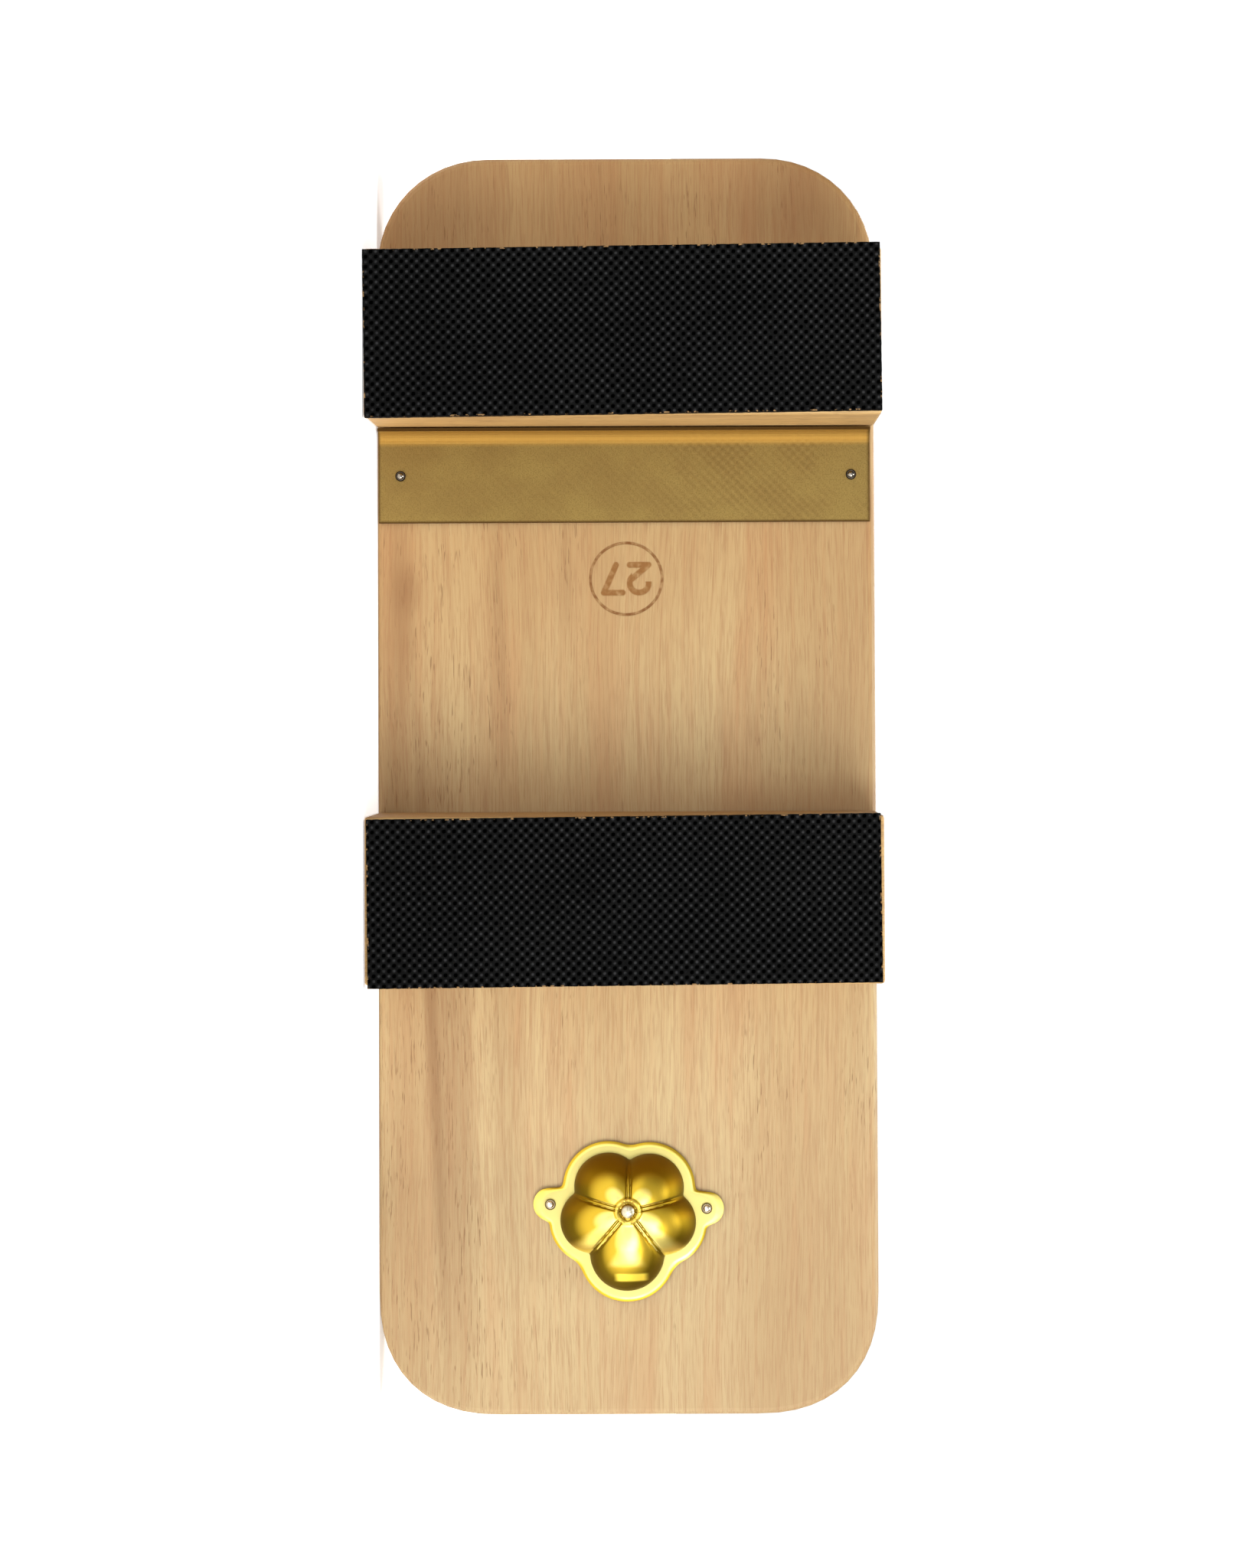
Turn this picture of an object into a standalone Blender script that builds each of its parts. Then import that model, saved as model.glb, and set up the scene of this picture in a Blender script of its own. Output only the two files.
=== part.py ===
"""A wooden geta, lying on its side: plank, two teeth with rubber treads, brass heel plate,
plum-blossom toe cap and a padded thong strap.

Every piece is modelled as the sandal stands: toe towards +X, footbed up, the plank's underside at
z = 0 and the plank's middle over the origin. The empty that carries them then lays the sandal on the
side at +Y, with the treads facing -Y, the footbed facing +Y and the floor at z = 0. Sizes in metres.
"""

import math
from collections import namedtuple

import bmesh
import bpy
from mathutils import Matrix, Vector

# Clearance between pieces that touch
GAP = 0.0003

# Plank
PLANK_LENGTH = 0.280
PLANK_WIDTH = 0.111
PLANK_THICKNESS = 0.017
PLANK_EDGE_ROUND = 0.0015
HEEL_CORNER_RADIUS = 0.025
TOE_CORNER_RADIUS = 0.027
HEEL_CORNER_SQUARENESS = 2.08  # exponent of the corner's superellipse, 2 being a circle
TOE_CORNER_SQUARENESS = 2.33

# Teeth and their rubber treads
TOOTH_LENGTH = 0.036
TOOTH_HEIGHT = 0.0317
TOOTH_EDGE_ROUND = 0.0007
HEEL_TOOTH_SETBACK = 0.0244  # from the plank's heel end to the heel tooth
TEETH_APART = 0.0857  # bare plank between the two teeth
TREAD_THICKNESS = 0.003
TREAD_EDGE_ROUND = 0.0003
HEEL_TREAD_MARGIN = 0.0002  # wood left bare at each side
BALL_TREAD_MARGIN = 0.0007
HEEL_TREAD_TURN = math.radians(-0.6)  # the treads are glued on slightly askew
BALL_TREAD_TURN = math.radians(-0.5)

# Thong holes
TOE_HOLE_SETBACK = 0.0464  # from the plank's toe end to the hole's axis
TOE_HOLE_DIAMETER = 0.009
REAR_HOLE_INSET = 0.0175  # from the plank's side to the hole's axis
REAR_HOLE_DIAMETER = 0.0095
KNOT_RECESS_RIM = 0.0025  # how much wider than its hole the recess is, all round
KNOT_RECESS_DEPTH = 0.0065

# Brass heel plate
PLATE_LENGTH = 0.0210
PLATE_RISE = 0.0040  # of the short leg that stands against the heel tooth
PLATE_SHEET = 0.0007
PLATE_BEND_RADIUS = 0.0026
PLATE_FLOOR_MARGIN = 0.0004  # wood left bare at the side that lies on the floor
PLATE_TOP_MARGIN = 0.0011
PLATE_NAIL_INSET = 0.0053  # from the plank's side to the nail

# Nails
NAIL_LENGTH = 0.009
NAIL_TAPER = 0.002
NAIL_SHANK_DIAMETER = 0.0012
NAIL_HEAD_HEIGHT = 0.0006
PLATE_NAIL_HEAD_DIAMETER = 0.0023
CAP_NAIL_HEAD_DIAMETER = 0.0024

# Blossom cap
CAP_SHEET = 0.0008
CAP_HEIGHT = 0.0080  # of the dome over its flange
CAP_FLANGE = 0.0025
CAP_REACH = 0.0187  # from the toe hole's axis to the toeward petal's foot
CAP_EAR_BEYOND = 0.0031  # from the foot of the dome's wall to the ear's nail
CAP_EAR_RADIUS = 0.0038
CAP_PETAL_SWELL = 0.0007
CAP_BOSS_DIAMETER = 0.0035
CAP_BOSS_HEIGHT = 0.0009
CAP_TURN = math.radians(1.7)

# Strap and toe cord
STRAP_RISE = 0.041  # of the pad's middle over the footbed
PAD_WIDTH = 0.0205
PAD_THICKNESS = 0.0110
BEND_WIDTH = 0.0068  # of the strap where its legs meet
BEND_THICKNESS = 0.0078
BEND_RADIUS = 0.0076
BEND_BEHIND = 0.0035  # from the toe hole's axis to the front of the bend's middle line
STRAP_UPRIGHT = 0.004  # height over the footbed where a leg's end turns straight down its hole
CORD_THICKNESS = 0.0030
CORD_WIDTH = 0.0058
TOE_KNOT_RIM = 0.0011  # how much wider than the toe hole the knot is, all round
TOE_KNOT_HEADROOM = 0.0030  # left under the blossom cap
STEM_NARROWING = 0.8  # the cord's size at its band, as a share of its size in the hole

# Smoothness
CORNER_STEPS = 12
ROUND_STEPS = 24
NAIL_STEPS = 10
SECTION_STEPS = 16
SPLINE_STEPS = 4
STEM_STEPS = 4
PETAL_STEPS = 11
EAR_STEPS = 8

# Places that follow from the sizes
HALF_WIDTH = PLANK_WIDTH / 2
HEEL_END = -PLANK_LENGTH / 2
TOE_END = PLANK_LENGTH / 2
HEEL_TOOTH_MIDDLE = HEEL_END + HEEL_TOOTH_SETBACK + TOOTH_LENGTH / 2
HEEL_TOOTH_FACE = HEEL_TOOTH_MIDDLE + TOOTH_LENGTH / 2
BALL_TOOTH_MIDDLE = HEEL_TOOTH_FACE + TEETH_APART + TOOTH_LENGTH / 2
TOE_HOLE = TOE_END - TOE_HOLE_SETBACK
REAR_HOLES = HEEL_TOOTH_FACE + GAP + PLATE_LENGTH / 2
REAR_HOLE_OUT = HALF_WIDTH - REAR_HOLE_INSET
STRAP_END_DIAMETER = REAR_HOLE_DIAMETER - 2 * GAP
TREAD_FACE = -(GAP + TOOTH_HEIGHT + GAP + TREAD_THICKNESS)
PILOT_DIAMETER = NAIL_SHANK_DIAMETER + 2 * GAP

# A lobe of the blossom, as shares of CAP_REACH: how far its middle lies from the toe hole towards the
# heel and out to the side, and its radius
Lobe = namedtuple("Lobe", "heelward out radius")
BLOSSOM = (
    Lobe(heelward=0.225, out=0.246, radius=0.405),
    Lobe(heelward=-0.176, out=0.417, radius=0.388),
    Lobe(heelward=-0.556, out=0.0, radius=0.442),
    Lobe(heelward=-0.176, out=-0.417, radius=0.388),
    Lobe(heelward=0.225, out=-0.246, radius=0.405),
)

# Rings of the cap's dome, as shares of the way from its middle to the foot of its wall
DOME_RINGS = (0.17, 0.34, 0.52, 0.68, 0.81, 0.90, 0.96, 1.0)
DOME_FLATNESS = 2.6  # how long the dome stays flat before it falls
DOME_STEEPNESS = 0.55  # how upright its wall stands at the foot, less being steeper

# Turned profiles, as (share of the radius, share of the height)
BOSS_PROFILE = ((0.45, 1.0), (0.85, 0.6), (1.0, 0.0))
NAIL_HEAD_PROFILE = ((0.35, 1.0), (0.75, 0.75), (1.0, 0.25), (1.0, 0.0))
TOE_KNOT_PROFILE = ((0.85, 0.0), (1.0, 0.25), (1.0, 0.7), (0.6, 1.0))

# Rings of a leg's end knot, as (share of the recess's depth, share of the way out to its wall)
END_KNOT_RINGS = ((1.0, 0.0), (1.0, 0.75), (0.8, 1.0), (0.3, 1.0), (0.05, 0.5))

# A station of one strap leg. along is a share of the run from the toe hole back to the rear holes,
# out of the widest reach, to_hole of the way over to the hole's own line, up of STRAP_RISE and
# fullness of the way from the narrow end to the full pad. lean turns the pad's face outwards.
Station = namedtuple("Station", "along out to_hole up lean fullness")
LEG = (
    Station(along=0.125, out=0.31, to_hole=0.0, up=0.76, lean=14, fullness=0.55),
    Station(along=0.25, out=0.51, to_hole=0.0, up=0.91, lean=24, fullness=0.92),
    Station(along=0.40, out=0.70, to_hole=0.0, up=0.99, lean=33, fullness=1.0),
    Station(along=0.55, out=0.85, to_hole=0.0, up=1.0, lean=42, fullness=1.0),
    Station(along=0.70, out=0.96, to_hole=0.0, up=0.89, lean=54, fullness=1.0),
    Station(along=0.83, out=1.0, to_hole=0.0, up=0.66, lean=68, fullness=0.95),
    Station(along=0.925, out=0.99, to_hole=0.22, up=0.42, lean=78, fullness=0.75),
    Station(along=0.98, out=0.97, to_hole=0.68, up=0.24, lean=85, fullness=0.35),
)
BEND_UP = 0.54  # height of the bend's middle, as a share of STRAP_RISE
BEND_END_UP = 0.60
BEND_TURN = math.radians(60)  # from the middle of the bend to the start of a leg
BEND_STEPS = 4
MIDWAY = 0.5  # stations before it narrow towards the bend, and those after it towards the hole


def clear_scene():
    for thing in list(bpy.data.objects):
        bpy.data.objects.remove(thing, do_unlink=True)


def make_material(name, colour, roughness, metallic=0.0):
    material = bpy.data.materials.new(name)
    material.use_nodes = True
    shader = material.node_tree.nodes["Principled BSDF"]
    shader.inputs["Base Color"].default_value = (*colour, 1.0)
    shader.inputs["Roughness"].default_value = roughness
    shader.inputs["Metallic"].default_value = metallic
    return material


def place(name, body, material, parent, location=(0, 0, 0), turn=0.0):
    """Makes the object of a bmesh, with its faces pointing out, and hangs it from its parent."""
    bmesh.ops.recalc_face_normals(body, faces=body.faces)
    mesh = bpy.data.meshes.new(name)
    body.to_mesh(mesh)
    body.free()
    if material:
        mesh.materials.append(material)
    mesh.shade_smooth()
    mesh.set_sharp_from_angle(angle=math.radians(35))
    piece = bpy.data.objects.new(name, mesh)
    piece.parent = parent
    piece.location = location
    piece.rotation_euler.z = turn
    bpy.context.scene.collection.objects.link(piece)
    return piece


def stack(rings):
    """A closed body through rings of as many points each, with a flat face at both ends."""
    body = bmesh.new()
    loops = [[body.verts.new(point) for point in ring] for ring in rings]
    for lower, upper in zip(loops, loops[1:]):
        for i in range(len(lower)):
            j = (i + 1) % len(lower)
            body.faces.new((lower[i], lower[j], upper[j], upper[i]))
    body.faces.new(list(reversed(loops[0])))
    body.faces.new(loops[-1])
    return body


def prism(outline, bottom, top):
    """A closed body over a flat outline, from one height to another."""
    return stack([[Vector((x, y, z)) for x, y in outline] for z in (bottom, top)])


def circle(radius, z, steps, middle=(0.0, 0.0)):
    angles = [2 * math.pi * i / steps for i in range(steps)]
    return [
        Vector((middle[0] + radius * math.cos(a), middle[1] + radius * math.sin(a), z))
        for a in angles
    ]


def turned(profile, steps):
    """A closed body turned about z, from (radius, z) pairs."""
    return stack([circle(radius, z, steps) for radius, z in profile])


def round_edges(piece, width, segments=2):
    bevel = piece.modifiers.new("Rounded edges", "BEVEL")
    bevel.width = width
    bevel.segments = segments
    bevel.limit_method = "ANGLE"
    bevel.angle_limit = math.radians(50)


def use_as_tool(tool, piece, operation):
    """Cuts the tool from the piece, or joins it to the piece, and keeps it out of the render."""
    tool.hide_render = True
    tool.display_type = "WIRE"
    boolean = piece.modifiers.new(tool.name, "BOOLEAN")
    boolean.operation = operation
    boolean.solver = "EXACT"
    boolean.object = tool


def corner_arc(middle, radius, squareness, start):
    """A quarter turn of a superellipse about its middle, counter-clockwise from start."""
    points = []
    for step in range(CORNER_STEPS + 1):
        angle = math.pi / 2 * step / CORNER_STEPS
        along = radius * math.cos(angle) ** (2 / squareness) if step < CORNER_STEPS else 0.0
        across = radius * math.sin(angle) ** (2 / squareness)
        point = Vector((along, across))
        point.rotate(Matrix.Rotation(start, 2))
        points.append((middle[0] + point.x, middle[1] + point.y))
    return points


def plank_outline():
    toe_x = TOE_END - TOE_CORNER_RADIUS
    toe_y = HALF_WIDTH - TOE_CORNER_RADIUS
    heel_x = HEEL_END + HEEL_CORNER_RADIUS
    heel_y = HALF_WIDTH - HEEL_CORNER_RADIUS
    toe = (TOE_CORNER_RADIUS, TOE_CORNER_SQUARENESS)
    heel = (HEEL_CORNER_RADIUS, HEEL_CORNER_SQUARENESS)
    return (
        corner_arc((toe_x, toe_y), *toe, 0)
        + corner_arc((heel_x, heel_y), *heel, math.pi / 2)
        + corner_arc((heel_x, -heel_y), *heel, math.pi)
        + corner_arc((toe_x, -toe_y), *toe, 3 * math.pi / 2)
    )


def hole_tool(name, parent, x, y, steps, *profile):
    return place(name, turned(profile, steps), None, parent, (x, y, 0))


def make_plank(parent, material):
    plank = place("plank", prism(plank_outline(), 0, PLANK_THICKNESS), material, parent)
    round_edges(plank, PLANK_EDGE_ROUND, segments=3)
    past = PLANK_THICKNESS  # how far a tool runs past the plank's faces
    toe_radius = TOE_HOLE_DIAMETER / 2
    toe_hole = hole_tool(
        "toe_hole", parent, TOE_HOLE, 0, ROUND_STEPS, (toe_radius, -past), (toe_radius, 2 * past)
    )
    use_as_tool(toe_hole, plank, "DIFFERENCE")
    rear_radius = REAR_HOLE_DIAMETER / 2
    recess_radius = rear_radius + KNOT_RECESS_RIM
    for side in (-1, 1):
        rear_hole = hole_tool(
            "rear_hole_" + SIDES[side],
            parent,
            REAR_HOLES,
            side * REAR_HOLE_OUT,
            ROUND_STEPS,
            (recess_radius, -past),
            (recess_radius, KNOT_RECESS_DEPTH),
            (rear_radius, KNOT_RECESS_DEPTH),
            (rear_radius, 2 * past),
        )
        use_as_tool(rear_hole, plank, "DIFFERENCE")
    for nail in nail_places():
        depth = NAIL_LENGTH - nail.seat + GAP
        pilot = hole_tool(
            nail.name + "_pilot",
            parent,
            nail.x,
            nail.y,
            NAIL_STEPS,
            (PILOT_DIAMETER / 2, -past),
            (PILOT_DIAMETER / 2, depth),
        )
        use_as_tool(pilot, plank, "DIFFERENCE")
    return plank


def block(length, width, height):
    half_length, half_width = length / 2, width / 2
    outline = [
        (half_length, -half_width),
        (half_length, half_width),
        (-half_length, half_width),
        (-half_length, -half_width),
    ]
    return prism(outline, -height, 0)


def make_tooth(name, parent, material, middle):
    tooth = place(
        name, block(TOOTH_LENGTH, PLANK_WIDTH, TOOTH_HEIGHT), material, parent, (middle, 0, -GAP)
    )
    round_edges(tooth, TOOTH_EDGE_ROUND)
    return tooth


def make_tread(name, parent, material, middle, margin, turn):
    height = -(GAP + TOOTH_HEIGHT + GAP)
    sheet = block(TOOTH_LENGTH, PLANK_WIDTH - 2 * margin, TREAD_THICKNESS)
    tread = place(name, sheet, material, parent, (middle, 0, height), turn)
    round_edges(tread, TREAD_EDGE_ROUND, segments=1)
    return tread


def plate_profile():
    """The plate's bent sheet seen from the side, from its toe edge round the bend and up the tooth.
    Heights are below the plank, so that they grow towards the ground."""
    outer = PLATE_BEND_RADIUS + PLATE_SHEET
    steps = 6
    arc = [math.pi / 2 * step / steps for step in range(steps + 1)]
    seat = [(PLATE_LENGTH, 0.0)]
    seat += [(outer - outer * math.sin(a), outer - outer * math.cos(a)) for a in arc]
    seat += [(0.0, PLATE_RISE)]
    face = [(PLATE_SHEET, PLATE_RISE)]
    inner = PLATE_BEND_RADIUS
    face += [(outer - inner * math.sin(a), outer - inner * math.cos(a)) for a in reversed(arc)]
    face += [(PLATE_LENGTH, PLATE_SHEET)]
    return [(HEEL_TOOTH_FACE + GAP + x, -GAP - below) for x, below in seat + face]


def make_plate(parent, material):
    low = -(HALF_WIDTH - PLATE_TOP_MARGIN)
    high = HALF_WIDTH - PLATE_FLOOR_MARGIN
    rings = [[Vector((x, y, z)) for x, z in plate_profile()] for y in (low, high)]
    plate = place("heel_plate", stack(rings), material, parent)
    cut_nail_holes(plate, "heel_plate_nail")
    return plate


def cut_nail_holes(piece, nails):
    """Cuts the holes of the nails whose names start so from a sheet that lies under the plank."""
    radius = PILOT_DIAMETER / 2
    for nail in nail_places():
        if nail.name.startswith(nails):
            tool = hole_tool(
                nail.name + "_hole",
                piece.parent,
                nail.x,
                nail.y,
                NAIL_STEPS,
                (radius, -3 * nail.seat),
                (radius, nail.seat),
            )
            use_as_tool(tool, piece, "DIFFERENCE")


# Where a nail goes in, and how far its head's seat lies below the plank
NailPlace = namedtuple("NailPlace", "name x y seat head")
SIDES = {-1: "right", 1: "left"}


def nail_places():
    ear = Vector((0, ear_out()))
    ear.rotate(Matrix.Rotation(CAP_TURN, 2))
    places = []
    for side, word in SIDES.items():
        places.append(
            NailPlace(
                name="heel_plate_nail_" + word,
                x=REAR_HOLES,
                y=side * (HALF_WIDTH - PLATE_NAIL_INSET),
                seat=2 * GAP + PLATE_SHEET,
                head=PLATE_NAIL_HEAD_DIAMETER,
            )
        )
        places.append(
            NailPlace(
                name="cap_nail_" + word,
                x=TOE_HOLE + side * ear.x,
                y=side * ear.y,
                seat=2 * GAP + CAP_SHEET,
                head=CAP_NAIL_HEAD_DIAMETER,
            )
        )
    return places


def make_nail(nail, parent, material):
    shank = NAIL_SHANK_DIAMETER / 2
    profile = [(nail.head / 2 * r, -NAIL_HEAD_HEIGHT * h) for r, h in NAIL_HEAD_PROFILE]
    profile += [(shank, 0.0), (shank, NAIL_LENGTH - NAIL_TAPER), (shank / 4, NAIL_LENGTH)]
    place(nail.name, turned(profile, NAIL_STEPS), material, parent, (nail.x, nail.y, -nail.seat))


def ray_reach(angle, heelward, out, radius):
    """How far a ray from the cap's middle goes before it leaves a circle, or 0 where it misses it.
    The angle is taken from straight toeward, turning to the left side."""
    direction = Vector((math.cos(angle), math.sin(angle)))
    middle = Vector((-heelward, out))
    along = direction.dot(middle)
    inside = radius**2 - (middle.length_squared - along**2)
    return max(0.0, along + math.sqrt(inside)) if inside > 0 else 0.0


def lobes(wider=0.0):
    """The blossom's lobes in metres, each with its radius made wider."""
    for heelward, out, radius in BLOSSOM:
        yield Lobe(CAP_REACH * heelward, CAP_REACH * out, CAP_REACH * radius + wider)


def dome_reach(angle):
    return max(ray_reach(angle, *lobe) for lobe in lobes())


def ear_out():
    return dome_reach(math.pi / 2) + CAP_EAR_BEYOND


def flange_reach(angle):
    petals = [ray_reach(angle, *lobe) for lobe in lobes(wider=CAP_FLANGE)]
    ears = [ray_reach(angle, 0.0, side * ear_out(), CAP_EAR_RADIUS) for side in SIDES]
    return max(petals + ears)


def crease_angles():
    """The angles where neighbouring lobes cross, in growing order from the heel's right side."""
    angles = []
    petals = list(lobes())
    for one, other in zip(petals, petals[1:] + petals[:1]):
        a = Vector((-one.heelward, one.out))
        b = Vector((-other.heelward, other.out))
        apart = (b - a).length
        along = (one.radius**2 - other.radius**2 + apart**2) / (2 * apart)
        beside = math.sqrt(one.radius**2 - along**2)
        line = (b - a).normalized()
        normal = Vector((-line.y, line.x))
        crossings = [a + along * line + side * beside * normal for side in (-1, 1)]
        outer = max(crossings, key=lambda point: point.length)
        angles.append(math.atan2(outer.y, outer.x) % (2 * math.pi))
    return sorted(angles)


def cap_angles():
    """Angles of the cap's radial lines: even steps across each petal and closer ones at the ears."""
    creases = crease_angles()
    angles = []
    for start, end in zip(creases, creases[1:] + [creases[0] + 2 * math.pi]):
        angles += [start + (end - start) * step / PETAL_STEPS for step in range(PETAL_STEPS)]
    ear_half = math.asin(CAP_EAR_RADIUS / ear_out())
    for side in SIDES:
        middle = side * math.pi / 2
        ear = [middle + ear_half * (2 * step / EAR_STEPS - 1) for step in range(EAR_STEPS + 1)]
        low, high = ear[0] % (2 * math.pi), ear[-1] % (2 * math.pi)
        angles = [a for a in angles if not low <= a % (2 * math.pi) <= high] + ear
    return sorted(a % (2 * math.pi) for a in angles)


def petal_bulge(angle):
    """1 along the middle of a petal and 0 in the creases beside it."""
    creases = crease_angles()
    for start, end in zip(creases, creases[1:] + [creases[0] + 2 * math.pi]):
        for turn in (0.0, 2 * math.pi):
            share = (angle + turn - start) / (end - start)
            if 0 <= share <= 1:
                return 4 * share * (1 - share)
    return 0.0


def dome_height(share, angle):
    """Height of the dome over the flange, from 0 at the foot of its wall (share 1)."""
    dome = CAP_HEIGHT * (1 - share**DOME_FLATNESS) ** DOME_STEEPNESS if share < 1 else 0.0
    swell = CAP_PETAL_SWELL * petal_bulge(angle) * math.sin(math.pi * min(share, 1.0))
    return dome + swell


def cap_surface(angles, inset, lift):
    """Rings of one side of the pressed sheet, from the middle out to the flange's edge."""
    rings = []
    for share in DOME_RINGS:
        ring = []
        for angle in angles:
            reach = (dome_reach(angle) - inset) * share
            below = GAP + lift + dome_height(share, angle)
            ring.append(Vector((reach * math.cos(angle), reach * math.sin(angle), -below)))
        rings.append(ring)
    edge = [(flange_reach(a) * math.cos(a), flange_reach(a) * math.sin(a)) for a in angles]
    rings.append([Vector((x, y, -GAP - lift)) for x, y in edge])
    return rings


def make_cap(parent, material):
    angles = cap_angles()
    outside = cap_surface(angles, 0.0, CAP_SHEET)
    inside = cap_surface(angles, CAP_SHEET, 0.0)
    shell = place(
        "blossom_cap", stack(outside + inside[::-1]), material, parent, (TOE_HOLE, 0, 0), CAP_TURN
    )
    top = -(GAP + CAP_SHEET + CAP_HEIGHT)
    radius = CAP_BOSS_DIAMETER / 2
    profile = [(radius * r, top - CAP_BOSS_HEIGHT * h) for r, h in BOSS_PROFILE]
    profile.append((radius, top + CAP_SHEET / 2))
    boss = hole_tool("boss", parent, TOE_HOLE, 0, ROUND_STEPS // 2, *profile)
    use_as_tool(boss, shell, "UNION")
    cut_nail_holes(shell, "cap_nail")
    return shell


def spline(stations, steps):
    """Points of a smooth curve through every station (a Catmull-Rom spline of tuples)."""
    before = [2 * a - b for a, b in zip(stations[0], stations[1])]
    after = [2 * a - b for a, b in zip(stations[-1], stations[-2])]
    known = [before, *stations, after]
    points = []
    for p0, p1, p2, p3 in zip(known, known[1:], known[2:], known[3:]):
        for step in range(steps):
            t = step / steps
            point = []
            for a, b, c, d in zip(p0, p1, p2, p3):
                cubic = (-a + 3 * b - 3 * c + d) * t**3 + (2 * a - 5 * b + 4 * c - d) * t**2
                point.append((cubic + (c - a) * t + 2 * b) / 2)
            points.append(point)
    points.append(list(stations[-1]))
    return points


def mix(low, high, share):
    return low + (high - low) * share


def leg_stations(spread):
    """One leg of the strap as (x, y, z, lean, width, thickness), from the bend's middle back to the
    rear hole. spread is how far out its middle line goes."""
    bend_middle = TOE_HOLE - BEND_BEHIND - BEND_RADIUS
    stations = []
    for step in range(BEND_STEPS):
        share = step / (BEND_STEPS - 1)
        angle = BEND_TURN * share
        up = PLANK_THICKNESS + STRAP_RISE * mix(BEND_UP, BEND_END_UP, share**2)
        x = bend_middle + BEND_RADIUS * math.cos(angle)
        stations.append((x, BEND_RADIUS * math.sin(angle), up, 0.0, BEND_WIDTH, BEND_THICKNESS))
    for station in LEG:
        near_bend = station.along < MIDWAY
        narrow_width = BEND_WIDTH if near_bend else STRAP_END_DIAMETER
        narrow_thickness = BEND_THICKNESS if near_bend else STRAP_END_DIAMETER
        stations.append(
            (
                mix(TOE_HOLE, REAR_HOLES, station.along),
                mix(station.out * spread, REAR_HOLE_OUT, station.to_hole),
                PLANK_THICKNESS + STRAP_RISE * station.up,
                math.radians(station.lean),
                mix(narrow_width, PAD_WIDTH, station.fullness),
                mix(narrow_thickness, PAD_THICKNESS, station.fullness),
            )
        )
    for height in (STRAP_UPRIGHT, 0.0):
        z = PLANK_THICKNESS + height
        size = STRAP_END_DIAMETER
        stations.append((REAR_HOLES, REAR_HOLE_OUT, z, math.pi / 2, size, size))
    return stations


def section(middle, along, lean, width, thickness):
    """The pad's oval section, square to the strap, with its face leaning outwards."""
    face = Vector((0.0, math.sin(lean), math.cos(lean)))
    face = (face - face.dot(along) * along).normalized()
    side = along.cross(face)
    ring = []
    for i in range(SECTION_STEPS):
        angle = 2 * math.pi * i / SECTION_STEPS
        across = side * math.cos(angle) * width / 2
        ring.append(middle + across + face * math.sin(angle) * thickness / 2)
    return ring


def leg_rings(spread):
    """Sections of one leg, from the bend's middle down to the knot in the plank's recess."""
    points = spline(leg_stations(spread), SPLINE_STEPS)
    middles = [Vector(point[:3]) for point in points]
    mirrored = Vector((middles[1].x, -middles[1].y, middles[1].z))
    below = middles[-1] - Vector((0.0, 0.0, PLANK_THICKNESS))
    known = [mirrored, *middles, below]
    rings = []
    for i, (x, y, z, lean, width, thickness) in enumerate(points):
        along = (known[i + 2] - known[i]).normalized()
        if i == len(points) - 1:
            along = Vector((0.0, 0.0, -1.0))
        rings.append(section(Vector((x, y, z)), along, lean, width, thickness))
    down = Vector((0.0, 0.0, -1.0))
    knot = REAR_HOLE_DIAMETER + 2 * KNOT_RECESS_RIM - 2 * GAP
    for height, fullness in END_KNOT_RINGS:
        middle = Vector((REAR_HOLES, REAR_HOLE_OUT, height * (KNOT_RECESS_DEPTH - GAP)))
        size = mix(STRAP_END_DIAMETER, knot, fullness)
        rings.append(section(middle, down, math.pi / 2, size, size))
    return rings


def strap_rings():
    """Sections of the whole strap, its widest reach brought level with the plank's side."""
    spread = HALF_WIDTH - PAD_THICKNESS / 2
    for _ in range(6):
        reach = max(point.y for ring in leg_rings(spread) for point in ring)
        spread += HALF_WIDTH - reach
    left = leg_rings(spread)
    right = [[Vector((p.x, -p.y, p.z)) for p in ring] for ring in left[1:]]
    return right[::-1] + left


def held_points(rings, half_band):
    """Points of the strap's bend that lie inside the toe cord's band."""
    middle = len(rings) // 2
    near = rings[middle - SPLINE_STEPS * BEND_STEPS : middle + SPLINE_STEPS * BEND_STEPS + 1]
    points = []
    for one, other in zip(near, near[1:]):
        for a, b in zip(one, other):
            points += [a.lerp(b, step / SPLINE_STEPS) for step in range(SPLINE_STEPS + 1)]
    return [point for point in points if abs(point.y) < half_band + GAP]


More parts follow.
